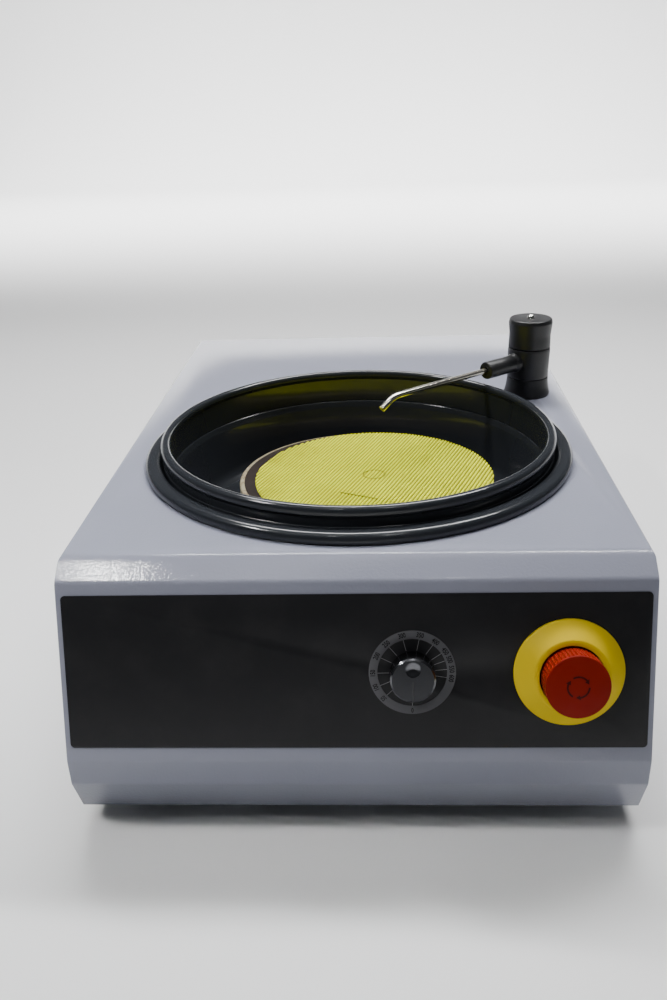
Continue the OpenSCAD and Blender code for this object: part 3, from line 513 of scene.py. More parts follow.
def closed_mesh(name, vertices, faces, uvs=None):
    """A mesh with its faces turned outward. uvs holds one coordinate for each corner of each face."""
    mesh = bpy.data.meshes.new(name)
    mesh.from_pydata(vertices, [], faces)
    if uvs:
        layer = mesh.uv_layers.new(name="turned")
        for loop, uv in zip(layer.data, uvs):
            loop.uv = uv
    edit = bmesh.new()
    edit.from_mesh(mesh)
    bmesh.ops.recalc_face_normals(edit, faces=edit.faces)
    edit.to_mesh(mesh)
    edit.free()
    return mesh


# %% [markdown]
# A turned piece is a profile of radius and height, spun round its axis. The lathe writes the rings
# itself, so poles and seams are closed, and it gives each face a UV map for the tool marks.

# %% Lathe
def lathe_mesh(name, outline, place, segments=160, angle=32):
    """Spins an outline of (radius, height) points in millimetres."""
    points = [(r * MM, z * MM) for r, z in outline]
    vertices, rings = [], []
    for r, z in points:
        if r < 1e-7:
            rings.append([len(vertices)])
            vertices.append((0, 0, z))
            continue
        rings.append(list(range(len(vertices), len(vertices) + segments)))
        for k in range(segments):
            turn = 2 * math.pi * k / segments
            vertices.append((r * math.cos(turn), r * math.sin(turn), z))
    along = [0.0]
    for i in range(1, len(points) + 1):
        a, b = points[i - 1], points[i % len(points)]
        along.append(along[-1] + math.dist(a, b))
    faces, coords = [], []
    for i, ring in enumerate(rings):
        other = rings[(i + 1) % len(rings)]
        if len(ring) == 1 and len(other) == 1:
            continue
        for k in range(segments):
            n = (k + 1) % segments
            if len(ring) == 1:
                corners = [(ring[0], k + 0.5, i), (other[n], k + 1, i + 1), (other[k], k, i + 1)]
            elif len(other) == 1:
                corners = [(ring[k], k, i), (ring[n], k + 1, i), (other[0], k + 0.5, i + 1)]
            else:
                corners = [(ring[k], k, i), (ring[n], k + 1, i), (other[n], k + 1, i + 1),
                           (other[k], k, i + 1)]
            faces.append([c[0] for c in corners])
            coords.extend((c[1] / segments, along[c[2]]) for c in corners)
    mesh = closed_mesh(name, vertices, faces, coords)
    mesh.transform(place)
    soften(mesh, angle)
    return mesh


# %% [markdown]
# Printed and engraved lines are thin bars with rounded edges. Small meshes that belong together, such
# as the lines of the dial, are joined into one piece.

# %% Bars and joined meshes
def bar_mesh(name, width, length, height):
    """A small bar centred on the origin, its length along Y."""
    mesh = bpy.data.meshes.new(name)
    edit = bmesh.new()
    bmesh.ops.create_cube(edit, size=1.0, matrix=Matrix.Diagonal((width * MM, length * MM, height * MM, 1)))
    bmesh.ops.bevel(edit, geom=edit.edges[:], offset=min(width, height) * 0.3 * MM, segments=2,
                    affect="EDGES")
    edit.to_mesh(mesh)
    edit.free()
    return mesh


def join_meshes(name, meshes):
    edit = bmesh.new()
    for mesh in meshes:
        edit.from_mesh(mesh)
    joined = bpy.data.meshes.new(name)
    edit.to_mesh(joined)
    edit.free()
    return joined


# %% [markdown]
# Sheet parts and blocks keep the CAD's shape. A copy of the CAD mesh is merged, its flat faces are
# joined again, and a narrow bevel takes the knife edge off, so that corners catch the light.

# %% Softened copy of a CAD node
def apply_modifiers(piece):
    graph = bpy.context.evaluated_depsgraph_get()
    mesh = bpy.data.meshes.new_from_object(piece.evaluated_get(graph))
    piece.modifiers.clear()
    return mesh


def softened_copy(node, body, finish_name, bevel, segments=2):
    mesh = frame["nodes"][node].data.copy()
    if "custom_normal" in mesh.attributes:
        mesh.attributes.remove(mesh.attributes["custom_normal"])
    edit = bmesh.new()
    edit.from_mesh(mesh)
    bmesh.ops.remove_doubles(edit, verts=edit.verts, dist=2e-6)
    bmesh.ops.dissolve_limit(edit, angle_limit=math.radians(0.6), verts=edit.verts, edges=edit.edges)
    edit.to_mesh(mesh)
    edit.free()
    holder = bpy.data.objects.new("holder", mesh)
    scene.collection.objects.link(holder)
    cut = holder.modifiers.new("edge", "BEVEL")
    cut.width = bevel * MM
    cut.segments = segments
    cut.limit_method = "ANGLE"
    cut.angle_limit = math.radians(40)
    cut.use_clamp_overlap = True
    mesh = apply_modifiers(holder)
    bpy.data.objects.remove(holder)
    soften(mesh)
    mesh.name = node + "_skin"
    add_piece(mesh.name, mesh, body, finish_name, (node,))


softened_copy("housing_cover", "base", "powder_coat", 0.35)
softened_copy("rear_panel", "base", "pan_paint", 0.25)
softened_copy("base_pan", "base", "pan_paint", 0.3)
softened_copy("control_film", "base", "film_black", 0.12)
softened_copy("rubber_feet", "base", "rubber", 0.8, 3)
softened_copy("bowl_gasket", "base", "rubber", 0.2)
softened_copy("power_inlet", "base", "black_plastic", 0.3)
softened_copy("inlet_pins", "base", "pin_nickel", 0.4)
softened_copy("switch_frame", "base", "black_plastic", 0.3)
softened_copy("fuse_holder", "base", "black_plastic", 0.3)
softened_copy("hose_nuts", "base", "steel", 0.5)
softened_copy("mains_rocker", "rocker", "black_plastic", 0.4)

# %% [markdown]
# The bowl drops into the round hole of the top plate. Its flange is a broad rolled bead, then comes a
# narrow dark groove, the ledge that carries the splash ring, a rounded shoulder and the deep wall.

# %% Bowl
def bowl():
    flange = [(177.4, 1.0), (177.4, 8.5), (165.0, 8.5), (165.0, -8.0), (156.8, -8.0)]
    inner_wall = [(154.6, -13.5), (150.8, -34.0), (147.0, -60.0), (110.0, -60.0), (45.0, -56.0)]
    spindle_hole = [(25.5, -56.0), (25.5, -43.0), (22.0, -43.0), (22.0, -60.0)]
    outer_wall = [(46.0, -60.0), (110.0, -63.2), (149.8, -63.2), (154.0, -34.0), (158.0, -11.5)]
    seat = [(167.5, -11.5), (167.5, 1.0)]
    radii = [0.6, 5.0, 3.5, 0.8, 2.4, 6.0, 30.0, 14.0, 0, 0, 3.0, 1.2, 1.2, 0, 0, 0, 14.0, 30.0, 2.0, 1.0,
             0.4]
    outline = fillet(flange + inner_wall + spindle_hole + outer_wall + seat, radii, 8)
    mesh = lathe_mesh("bowl_skin", outline, Matrix.Translation(AXIS), 192, angle=40)
    add_piece("bowl_skin", mesh, "base", "bowl_plastic", ("bowl",))


bowl()

# %% [markdown]
# The splash ring stands on the ledge. It has a small step low on its outside and a fat rolled rim.

# %% Splash ring
def splash_ring():
    outside = [(157.2, -8.0), (162.8, -8.0), (162.8, 6.6), (162.2, 7.2), (162.2, 13.6)]
    rim = [(163.5, 16.0), (163.5, 22.5), (155.8, 22.0), (155.4, 17.2), (157.2, 14.0)]
    outline = fillet(outside + rim, [0.5, 0.4, 0.4, 0.2, 3.0, 2.0, 4.3, 3.6, 1.2, 2.0], 8)
    mesh = lathe_mesh("splash_ring_skin", outline, Matrix.Translation(AXIS), 192, angle=40)
    add_piece("splash_ring_skin", mesh, "base", "bowl_plastic", ("splash_ring",))


splash_ring()

# %% [markdown]
# The platen is a worn metal plate with a brown magnetic film on top. Water has stained its edge.

# %% Platen and magnetic film
def platen():
    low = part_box("platen")[0].z
    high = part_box("platen")[1].z
    top = (high - PLATE_Z) / MM
    foot = (low - PLATE_Z) / MM
    outline = fillet([(0, foot + 3), (92, foot + 3), (92, foot), (102, foot), (102, top), (0, top)],
                     [0, 1.5, 1.0, 1.0, 1.2, 0], 5)
    mesh = lathe_mesh("platen_skin", outline, Matrix.Translation(AXIS), 160)
    add_piece("platen_skin", mesh, "spindle", "platen_metal", ("platen",))
    film = fillet([(0, top), (98, top), (98, top + 0.8), (0, top + 0.8)], [0, 0.1, 0.4, 0], 3)
    mesh = lathe_mesh("magnetic_film_skin", film, Matrix.Translation(AXIS), 160)
    add_piece("magnetic_film_skin", mesh, "spindle", "film_brown", ("magnetic_film",))


platen()

# %% [markdown]
# Geometry Nodes repeat one part. The first tree lays ribs side by side over a round pad and stretches
# every point of them to the chord of the circle at its place, so the ends follow the pad's edge. The
# second stands a part round a circle, and the third sets a screw on each given point.

# %% Geometry Nodes helpers
def new_tree(name, inputs):
    tree = bpy.data.node_groups.new(name, "GeometryNodeTree")
    tree.interface.new_socket(name="Geometry", in_out="INPUT", socket_type="NodeSocketGeometry")
    for label, kind, default in inputs:
        socket = tree.interface.new_socket(name=label, in_out="INPUT", socket_type=kind)
        if default is not None:
            socket.default_value = default
    tree.interface.new_socket(name="Geometry", in_out="OUTPUT", socket_type="NodeSocketGeometry")
    return tree, tree.nodes.new("NodeGroupInput"), tree.nodes.new("NodeGroupOutput")


def link_end(tree, instances, start, end):
    """Every tree ends in real geometry with its material."""
    real = tree.nodes.new("GeometryNodeRealizeInstances")
    paint = tree.nodes.new("GeometryNodeSetMaterial")
    tree.links.new(instances, real.inputs["Geometry"])
    tree.links.new(real.outputs["Geometry"], paint.inputs["Geometry"])
    tree.links.new(start.outputs["Material"], paint.inputs["Material"])
    tree.links.new(paint.outputs["Geometry"], end.inputs["Geometry"])


def part_info(tree, start):
    info = tree.nodes.new("GeometryNodeObjectInfo")
    info.inputs["As Instance"].default_value = True
    tree.links.new(start.outputs["Part"], info.inputs["Object"])
    return info.outputs["Geometry"]


def grow(name, tree, values, base_mesh=None):
    """Runs a tree on a mesh and returns the result as a plain mesh."""
    holder = bpy.data.objects.new("holder", base_mesh or bpy.data.meshes.new("empty"))
    scene.collection.objects.link(holder)
    modifier = holder.modifiers.new("grow", "NODES")
    modifier.node_group = tree
    names = {i.name: i.identifier for i in tree.interface.items_tree if i.in_out == "INPUT"}
    for label, value in values.items():
        modifier[names[label]] = value
    mesh = apply_modifiers(holder)
    mesh.name = name
    bpy.data.objects.remove(holder)
    return mesh


def part_object(mesh):
    part = bpy.data.objects.new("part", mesh)
    scene.collection.objects.link(part)
    return part


# %% [markdown]
# The disc tree lays a line of points, one pitch apart, and sets a rib on each. Every point of the
# ribs is then stretched along X to the chord of the circle at its own Y.

# %% Ribs over a disc
PITCH, RIB_W, RIB_H = 3.1, 2.0, 1.0


def rib_tree():
    tree, start, end = new_tree("ribs_over_a_disc", [
        ("Disc Radius", "NodeSocketFloat", 0.1), ("Pitch", "NodeSocketFloat", 0.003),
        ("Count", "NodeSocketInt", 60), ("Part", "NodeSocketObject", None),
        ("Material", "NodeSocketMaterial", None)])
    line = tree.nodes.new("GeometryNodeMeshLine")
    tree.links.new(start.outputs["Count"], line.inputs["Count"])
    offset = tree.nodes.new("ShaderNodeCombineXYZ")
    tree.links.new(start.outputs["Pitch"], offset.inputs["Y"])
    tree.links.new(offset.outputs[0], line.inputs["Offset"])
    first = tree.nodes.new("ShaderNodeCombineXYZ")
    half = math_node(tree, "MULTIPLY", math_node(tree, "SUBTRACT", start.outputs["Count"], 1.0), -0.5)
    tree.links.new(math_node(tree, "MULTIPLY", half, start.outputs["Pitch"]), first.inputs["Y"])
    tree.links.new(first.outputs[0], line.inputs["Start Location"])
    copies = tree.nodes.new("GeometryNodeInstanceOnPoints")
    tree.links.new(line.outputs["Mesh"], copies.inputs["Points"])
    tree.links.new(part_info(tree, start), copies.inputs["Instance"])
    real = tree.nodes.new("GeometryNodeRealizeInstances")
    tree.links.new(copies.outputs["Instances"], real.inputs["Geometry"])
    place = tree.nodes.new("GeometryNodeInputPosition")
    split = tree.nodes.new("ShaderNodeSeparateXYZ")
    tree.links.new(place.outputs[0], split.inputs[0])
    square = math_node(tree, "MULTIPLY", split.outputs["Y"], split.outputs["Y"])
    reach = math_node(tree, "MULTIPLY", start.outputs["Disc Radius"], start.outputs["Disc Radius"])
    left = math_node(tree, "MAXIMUM", math_node(tree, "SUBTRACT", reach, square), 1e-6)
    chord = math_node(tree, "SQRT", left)
    trimmed = tree.nodes.new("ShaderNodeCombineXYZ")
    along = math_node(tree, "MULTIPLY", split.outputs["X"], math_node(tree, "MULTIPLY", chord, 2.0))
    tree.links.new(along, trimmed.inputs["X"])
    tree.links.new(split.outputs["Y"], trimmed.inputs["Y"])
    tree.links.new(split.outputs["Z"], trimmed.inputs["Z"])
    move = tree.nodes.new("GeometryNodeSetPosition")
    tree.links.new(real.outputs["Geometry"], move.inputs["Geometry"])
    tree.links.new(trimmed.outputs[0], move.inputs["Position"])
    link_end(tree, move.outputs["Geometry"], start, end)
    return tree


# %% [markdown]
# One rib of the pad is a flat-bottomed half-round bar, one metre long before the tree stretches it. A
# ring and a short line are set into the face of the pad.

# %% Polishing disc
def rib_part():
    section = [(-RIB_W / 2, -0.3)] + [
        (-RIB_W / 2 * math.cos(math.pi * k / 8), RIB_H * math.sin(math.pi * k / 8)) for k in range(9)]
    section += [(RIB_W / 2, -0.3)]
    steps = 24
    vertices = [(-0.5 + i / steps, y * MM, z * MM) for i in range(steps + 1) for y, z in section]
    n = len(section)
    faces = [[i * n + k, i * n + (k + 1) % n, (i + 1) * n + (k + 1) % n, (i + 1) * n + k]
             for i in range(steps) for k in range(n)]
    faces += [list(range(n)), list(range(steps * n + n - 1, steps * n - 1, -1))]
    mesh = closed_mesh("rib", vertices, faces)
    soften(mesh, 50)
    return part_object(mesh)


def polishing_disc():
    low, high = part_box("polishing_disc")
    middle = (low + high) / 2
    radius = (high.x - low.x) / 2
    top = high.z
    place = Matrix.Translation((middle.x, middle.y, top))
    pad = fillet([(0, -1.8), (101.2, -1.8), (101.2, -RIB_H), (0, -RIB_H)], [0, 0.2, 0.4, 0], 3)
    # The pad shows only between the ribs, and its dark colour is painted shade there.
    mesh = lathe_mesh("polishing_disc_pad", pad, place, 160)
    add_piece("polishing_disc_pad", mesh, "disc", "disc_groove", ("polishing_disc",))
    part = rib_part()
    ribs = grow("polishing_disc_ribs", rib_tree(), {
        "Disc Radius": radius - 0.0002, "Pitch": PITCH * MM, "Count": int(2 * radius / MM / PITCH),
        "Part": part, "Material": MATERIALS["disc_yellow"]})
    bpy.data.objects.remove(part)
    ribs.transform(place @ Matrix.Translation((0, 0, -RIB_H * MM)) @ Matrix.Rotation(DISC_TURN, 4, "Z"))
    add_piece("polishing_disc_ribs", ribs, "disc", None)
    ring = fillet([(8.8, -0.4), (9.8, -0.4), (9.8, 0.03), (8.8, 0.03)], [0, 0, 0.1, 0.1], 2)
    mark = lathe_mesh("polishing_disc_ring", ring, place, 64)
    line = bar_mesh("line", 1.4, 34, 0.6)
    line_at = Matrix.Translation((-12 * MM, -44 * MM, -0.2 * MM))
    line.transform(place @ line_at @ Matrix.Rotation(math.radians(66), 4, "Z"))
    marks = join_meshes("polishing_disc_marks", [mark, line])
    add_piece("polishing_disc_marks", marks, "disc", "disc_groove")


polishing_disc()

# %% [markdown]
# The tap is three stacked turned pieces: a flared base, the swivel body that carries the spout, and the
# valve knob with a bright rivet on top. Their parting lines are real gaps.

# %% Tap
def tap_matrix(z=0.0):
    return Matrix.Translation(TAP + Vector((0, 0, z * MM)))


def tap():
    base = fillet([(8, 0.8), (21.6, 0.8), (21.9, 2.4), (20.6, 8), (19.9, 13), (19.6, 17.8), (8, 17.8)],
                  [0, 0.4, 0.8, 8, 12, 0.5, 0], 5)
    add_piece("tap_base_skin", lathe_mesh("tap_base_skin", base, tap_matrix(), 96), "base",
              "tap_plastic", ("tap_base",))
    body = fillet([(8.05, 18.3), (19.5, 18.3), (19.5, 24), (20.0, 44), (19.8, 46.7), (8.05, 46.7)],
                  [0, 0.5, 20, 6, 0.5, 0], 5)
    add_piece("tap_body_skin", lathe_mesh("tap_body_skin", body, tap_matrix(), 96), "spout",
              "tap_plastic", ("tap_body",))
    knob = fillet([(8.05, 47.3), (19.9, 47.3), (19.5, 58.5), (20.6, 70.5), (19.6, 74.0), (0, 73.6), (0, 65),
                   (8.05, 65)], [0, 0.6, 30, 2.5, 1.6, 0, 0, 0], 6)
    add_piece("tap_knob_skin", lathe_mesh("tap_knob_skin", knob, tap_matrix(), 96), "valve",
              "tap_plastic", ("tap_knob",))
    dome = [(3.7, 73.55), (3.7, 73.9)]
    dome += [(3.5 * math.cos(a), 74.1 + 3.2 * math.sin(a)) for a in (math.radians(10 * k) for k in range(9))]
    dome += [(0, 77.3), (0, 73.55)]
    add_piece("tap_rivet", lathe_mesh("tap_rivet", dome, tap_matrix(), 40), "valve",
              "dome_metal", ("tap_dome",))


tap()

# %% [markdown]
# The sweep carries a ring of points along a path. At the tip of the spout the path turns back inside
# with a smaller radius, so the tube is open.

# %% Sweep
def sweep_mesh(name, path, radii, place, sides):
    """Rings of the given radii along a path in the XZ plane; the two ends are closed."""
    vertices, faces, coords = [], [], []
    lengths = [0.0]
    for i in range(1, len(path)):
        lengths.append(lengths[-1] + math.dist(path[i - 1], path[i]))
    side = Vector((0, 1, 0))
    for i, ((x, z), radius) in enumerate(zip(path, radii)):
        x0, z0 = path[max(i - 1, 0)]
        x1, z1 = path[min(i + 1, len(path) - 1)]
        ahead = Vector((x1 - x0, 0, z1 - z0)).normalized()
        if x1 < x0:
            ahead = -ahead
        lift = ahead.cross(side)
        for k in range(sides):
            a = 2 * math.pi * k / sides
            vertices.append((Vector((x, 0, z)) + radius * (math.cos(a) * side + math.sin(a) * lift)) * MM)
    for i in range(len(path) - 1):
        here, there = lengths[i] * MM, lengths[i + 1] * MM
        for k in range(sides):
            n = (k + 1) % sides
            faces.append([i * sides + k, i * sides + n, (i + 1) * sides + n, (i + 1) * sides + k])
            left, right = k / sides, (k + 1) / sides
            coords += [(left, here), (right, here), (right, there), (left, there)]
    last = (len(path) - 1) * sides
    faces += [list(range(sides)), list(range(last + sides - 1, last - 1, -1))]
    coords += [(0, 0)] * (2 * sides)
    mesh = closed_mesh(name, vertices, faces, coords)
    mesh.transform(place)
    soften(mesh, 40)
    return mesh


# %% [markdown]
# The spout is a short black sleeve and a thin bright tube that runs level and then dips. Its path is
# measured from the tap's axis: a level stretch, an arc and a short straight tip.

# %% Spout
SPOUT_TURN, SPOUT_Z = math.radians(219.2), 34


def spout():
    place = tap_matrix(SPOUT_Z) @ Matrix.Rotation(SPOUT_TURN, 4, "Z")
    bend_r, bend, tip_length, end_at = 25.0, math.radians(32), 9.0, 183.0
    bend_at = end_at - tip_length * math.cos(bend) - bend_r * math.sin(bend)
    path = [(30.0 + (bend_at - 30.0) * k / 10, 0.0) for k in range(11)]
    path += [(bend_at + bend_r * math.sin(bend * k / 10), -bend_r * (1 - math.cos(bend * k / 10)))
             for k in range(1, 11)]
    x, z = path[-1]
    for k in range(1, 6):
        path.append((x + tip_length * math.cos(bend) * k / 5, z - tip_length * math.sin(bend) * k / 5))
    radii = [2.7] * len(path)
    x, z = path[-1]
    path.append((x + 0.02, z - 0.012))
    radii.append(2.0)
    for depth in (3.0, 7.0):
        path.append((x - depth * math.cos(bend), z + depth * math.sin(bend)))
        radii.append(1.9)
    mesh = sweep_mesh("spout_tube_skin", path, radii, place, 28)
    add_piece("spout_tube_skin", mesh, "spout", "spout_metal", ("spout_tube",))
    sleeve = fillet([(0, 15), (9.2, 15), (9.2, 21), (8.1, 24), (8.1, 58), (3.4, 58), (3.4, 55), (0, 55)],
                    [0, 0, 1.5, 2.5, 1.2, 0.4, 0, 0], 5)
    turn = Matrix.Rotation(math.radians(90), 4, "Y")
    mesh = lathe_mesh("spout_sleeve_skin", sleeve, place @ turn, 64)
    add_piece("spout_sleeve_skin", mesh, "spout", "tap_plastic", ("spout_sleeve",))


spout()

# %% [markdown]
# The speed knob is turned aluminium with a bright chamfer, a finger dimple and a fine pointer line that
# stands at 0. The dimple is pressed into the finely ringed face.

# %% Speed knob
KNOB_R, KNOB_TOP, CHAMFER, FACE_RING = 15.0, 17.7, 1.2, 0.45


def speed_knob():
    rings = [(KNOB_R - CHAMFER - FACE_RING * k, KNOB_TOP) for k in range(1, 31)]
    outline = [(0, 4.0), (9.5, 4.0), (9.5, 0.8), (14.7, 0.8), (KNOB_R, 1.1), (KNOB_R, KNOB_TOP - CHAMFER),
               (KNOB_R - CHAMFER, KNOB_TOP)]
    outline += [p for p in rings if p[0] > 0.2] + [(0, KNOB_TOP)]
    place = panel_matrix(KNOB_AT)
    mesh = lathe_mesh("speed_knob_skin", outline, Matrix.Identity(4), 128, angle=28)
    dimple, reach, depth = Vector((0, 7.4)), 4.9, 1.9
    for vertex in mesh.vertices:
        x, y, z = vertex.co / MM
        far = (Vector((x, y)) - dimple).length
        if z > KNOB_TOP - 0.2 and far < reach:
            vertex.co.z -= depth * (1 - (far / reach) ** 2) ** 1.5 * MM
    mesh.transform(place)
    add_piece("speed_knob_skin", mesh, "knob", "knob_metal", ("speed_knob",))
    line = bar_mesh("knob_pointer", 0.5, 12.6, 0.1)
    line.transform(place @ Matrix.Translation((0, -7.0 * MM, (KNOB_TOP + 0.02) * MM)))
    add_piece("knob_pointer", line, "knob", "knob_line")


speed_knob()

# %% [markdown]
# The dial is a grey printed ring with dark numbers that read from 0 to 600, and a thin line from the
# knob to each number. The steps aren't even, because the control isn't linear.

# %% Dial
DIAL = {0: 180, 50: -133, 100: -113, 150: -91, 200: -64, 250: -41, 300: -15, 350: 11.5, 400: 36, 450: 56,
        500: 70, 550: 85, 600: 99}


def number_mesh(text, size):
    curve = bpy.data.curves.new("number", "FONT")
    curve.body = text
    curve.size = size * MM
    curve.extrude = 0.03 * MM
    curve.offset = 0.07 * MM
    curve.align_x = "CENTER"
    curve.align_y = "CENTER"
    curve.resolution_u = 3
    holder = bpy.data.objects.new("number", curve)
    scene.collection.objects.link(holder)
    mesh = apply_modifiers(holder)
    bpy.data.objects.remove(holder)
    return mesh


def dial():
    place = panel_matrix(KNOB_AT)
    low, high = 23.3, 29.2
    outline = fillet([(low, 0), (high, 0), (high, 0.4), (low, 0.4)], [0, 0, 0.15, 0.15], 2)
    mesh = lathe_mesh("dial_ring_skin", outline, place, 128)
    add_piece("dial_ring_skin", mesh, "base", "dial_grey", ("dial_ring",))
    numbers, ticks = [], []
    for value, angle in DIAL.items():
        turn = place @ Matrix.Rotation(math.radians(-angle), 4, "Z")
        number = number_mesh(str(value), 4.7)
        number_at = Matrix.Translation((0, 26.3 * MM, 0.45 * MM))
        number.transform(turn @ number_at @ Matrix.Diagonal((0.72, 1, 1, 1)))
        numbers.append(number)
        tick = bar_mesh("tick", 0.3, 7.8, 0.1)
        tick.transform(turn @ Matrix.Translation((0, 19.4 * MM, 0.05 * MM)))
        ticks.append(tick)
    add_piece("dial_numbers", join_meshes("dial_numbers", numbers), "base", "dial_dark")
    add_piece("dial_ticks", join_meshes("dial_ticks", ticks), "base", "dial_line")


dial()

# %% [markdown]
# The grip of the stop head is one rib, repeated round the head. The tree puts the part on every point
# of a circle and turns it outward. The strainer of the bowl uses the same tree for its holes.

# %% Parts round a circle
def ring_tree():
    tree, start, end = new_tree("parts_round_a_circle", [
        ("Radius", "NodeSocketFloat", 0.02), ("Count", "NodeSocketInt", 12),
        ("Part", "NodeSocketObject", None), ("Material", "NodeSocketMaterial", None)])
    circle = tree.nodes.new("GeometryNodeMeshCircle")
    tree.links.new(start.outputs["Count"], circle.inputs["Vertices"])
    tree.links.new(start.outputs["Radius"], circle.inputs["Radius"])
    index = tree.nodes.new("GeometryNodeInputIndex")
    share = math_node(tree, "DIVIDE", index.outputs[0], start.outputs["Count"])
    turn = tree.nodes.new("ShaderNodeCombineXYZ")
    tree.links.new(math_node(tree, "MULTIPLY", share, 2 * math.pi), turn.inputs["Z"])
    copies = tree.nodes.new("GeometryNodeInstanceOnPoints")
    tree.links.new(circle.outputs["Mesh"], copies.inputs["Points"])
    tree.links.new(part_info(tree, start), copies.inputs["Instance"])
    tree.links.new(turn.outputs[0], copies.inputs["Rotation"])
    link_end(tree, copies.outputs["Instances"], start, end)
    return tree


RING_TREE = ring_tree()


def grip_rib():
    """One grip rib of the stop head, standing along Z and facing +X."""
    outline = [(-0.5, -0.62), (0.25, -0.62), (0.62, -0.25), (0.62, 0.25), (0.25, 0.62), (-0.5, 0.62)]
    levels = (13.5, 14.0, 28.9, 29.4)
    shrink = (0.6, 1.0, 1.0, 0.6)
    n = len(outline)
    vertices = [(x * s * MM, y * s * MM, z * MM) for z, s in zip(levels, shrink) for x, y in outline]
    faces = [[i * n + k, i * n + (k + 1) % n, (i + 1) * n + (k + 1) % n, (i + 1) * n + k]
             for i in range(3) for k in range(n)]
    faces += [list(range(n - 1, -1, -1)), list(range(3 * n, 4 * n))]
    mesh = bpy.data.meshes.new("rib")
    mesh.from_pydata(vertices, [], faces)
    soften(mesh, 50)
    return part_object(mesh)


# %% [markdown]
# Three arc arrows on the head show which way it turns to release. Each is a flat arc and a flat
# triangle, just proud of the face.

# %% Arrow
ARROW_IN, ARROW_OUT, ARROW_SWEEP = 6.3, 7.5, 82


def flat_mesh(outline):
    """A thin closed plate from (radius, angle in degrees) points."""
    flat = [(r * math.cos(math.radians(a)), r * math.sin(math.radians(a))) for r, a in outline]
    n = len(flat)
    vertices = [(x * MM, y * MM, z * MM) for z in (-0.1, 0.06) for x, y in flat]
    faces = [list(range(n)), list(range(2 * n - 1, n - 1, -1))]
    faces += [[k, (k + 1) % n, (k + 1) % n + n, k + n] for k in range(n)]
    return closed_mesh("arrow", vertices, faces)


def arrow_mesh(start):
    steps = 12
    points = []
    for radius, order in ((ARROW_OUT, range(steps + 1)), (ARROW_IN, range(steps, -1, -1))):
        points += [(radius, start - ARROW_SWEEP * k / steps) for k in order]
    head = start - ARROW_SWEEP + 3
    tip = [(5.2, head), (8.6, head), (6.9, head - 24)]
    return join_meshes("arrow", [flat_mesh(points), flat_mesh(tip)])


# %% [markdown]
# The emergency stop is a ribbed red mushroom in a conical yellow collar. The collar belongs to the
# front, and the head with its ribs and arrows moves.

# %% Emergency stop
HEAD_TOP = 31.0


def estop():
    place = panel_matrix(STOP_AT)
    collar = fillet([(21.3, 0), (36.8, 0), (36.8, 1.8), (25.2, 11.6), (23.6, 12.0), (21.3, 12.0)],
                    [0.2, 0.3, 1.2, 2.5, 0.5, 0.6], 6)
    mesh = lathe_mesh("estop_collar_skin", collar, place, 160, angle=40)
    add_piece("estop_collar_skin", mesh, "base", "collar_yellow", ("estop_collar",))
    head = fillet([(4.05, 14), (17.5, 14), (17.5, 7), (20.0, 7), (20.0, 29.0), (20.8, 29.3),
                   (20.8, HEAD_TOP), (0, HEAD_TOP), (0, 25), (4.05, 25)],
                  [0, 0, 0.3, 0.5, 0.2, 0.3, 0.7, 0, 0, 0], 3)
    mesh = lathe_mesh("estop_head_skin", head, place, 144)
    add_piece("estop_head_skin", mesh, "stop_head", "stop_red", ("estop_head",))
    part = grip_rib()
    ribs = grow("estop_ribs", RING_TREE, {
        "Radius": 20.12 * MM, "Count": 48, "Part": part, "Material": MATERIALS["stop_red"]})
    bpy.data.objects.remove(part)
    ribs.transform(place)
    add_piece("estop_ribs", ribs, "stop_head", None)
    # The arrows are raised flats, and their darker red is painted shade of the engraved arrows.
    arrows = join_meshes("estop_arrows", [arrow_mesh(120 * k) for k in range(3)])
    arrows.transform(place @ Matrix.Translation((0, 0, HEAD_TOP * MM)))
    add_piece("estop_arrows", arrows, "stop_head", "stop_red_dark")


estop()

# %% [markdown]
# The screws of the housing: button heads with a hexagon socket on the rear frame, and flush countersunk
# heads along the bottom of the sides. One head is modelled and the tree sets it on each point.

# %% Screw head
def ring_points(radius, z, segments, hexagon=False):
    """A ring of points, or the same number of points on a hexagon of that inner radius."""
    points = []
    for k in range(segments):
        a = 2 * math.pi * k / segments
        reach = radius
        if hexagon:
            reach = radius * math.cos(math.pi / 6) / math.cos((a % (math.pi / 3)) - math.pi / 6)
        points.append((reach * math.cos(a) * MM, reach * math.sin(a) * MM, z * MM))
    return points


def screw_head(flush):
    """A head that faces +Z with its seat at the origin, and a hexagon socket in it."""
    segments, socket_r, socket_deep = 24, 1.25, 1.2
    if flush:
        rings = [(3.9, -0.3), (3.9, 0.0), (3.3, -0.05)]
    else:
        rings = [(3.6, 0.0), (3.6, 0.35), (3.4, 1.0), (2.9, 1.6), (2.3, 1.95)]
    top = rings[-1][1]
    vertices = []
    for r, z in rings:
        vertices += ring_points(r, z, segments)
    for z in (top, top - socket_deep):
        vertices += ring_points(socket_r, z, segments, hexagon=True)
    count = len(rings) + 2
    faces = [[i * segments + k, i * segments + (k + 1) % segments, (i + 1) * segments + (k + 1) % segments,
              (i + 1) * segments + k] for i in range(count - 1) for k in range(segments)]
    faces += [list(range(segments - 1, -1, -1)), list(range((count - 1) * segments, count * segments))]
    mesh = closed_mesh("screw_head", vertices, faces)
    soften(mesh, 35)
    return part_object(mesh)


# %% [markdown]
# The tree puts a head on every given point and turns it to face out of its wall. The points follow the
# edges of the cover and the rear panel.

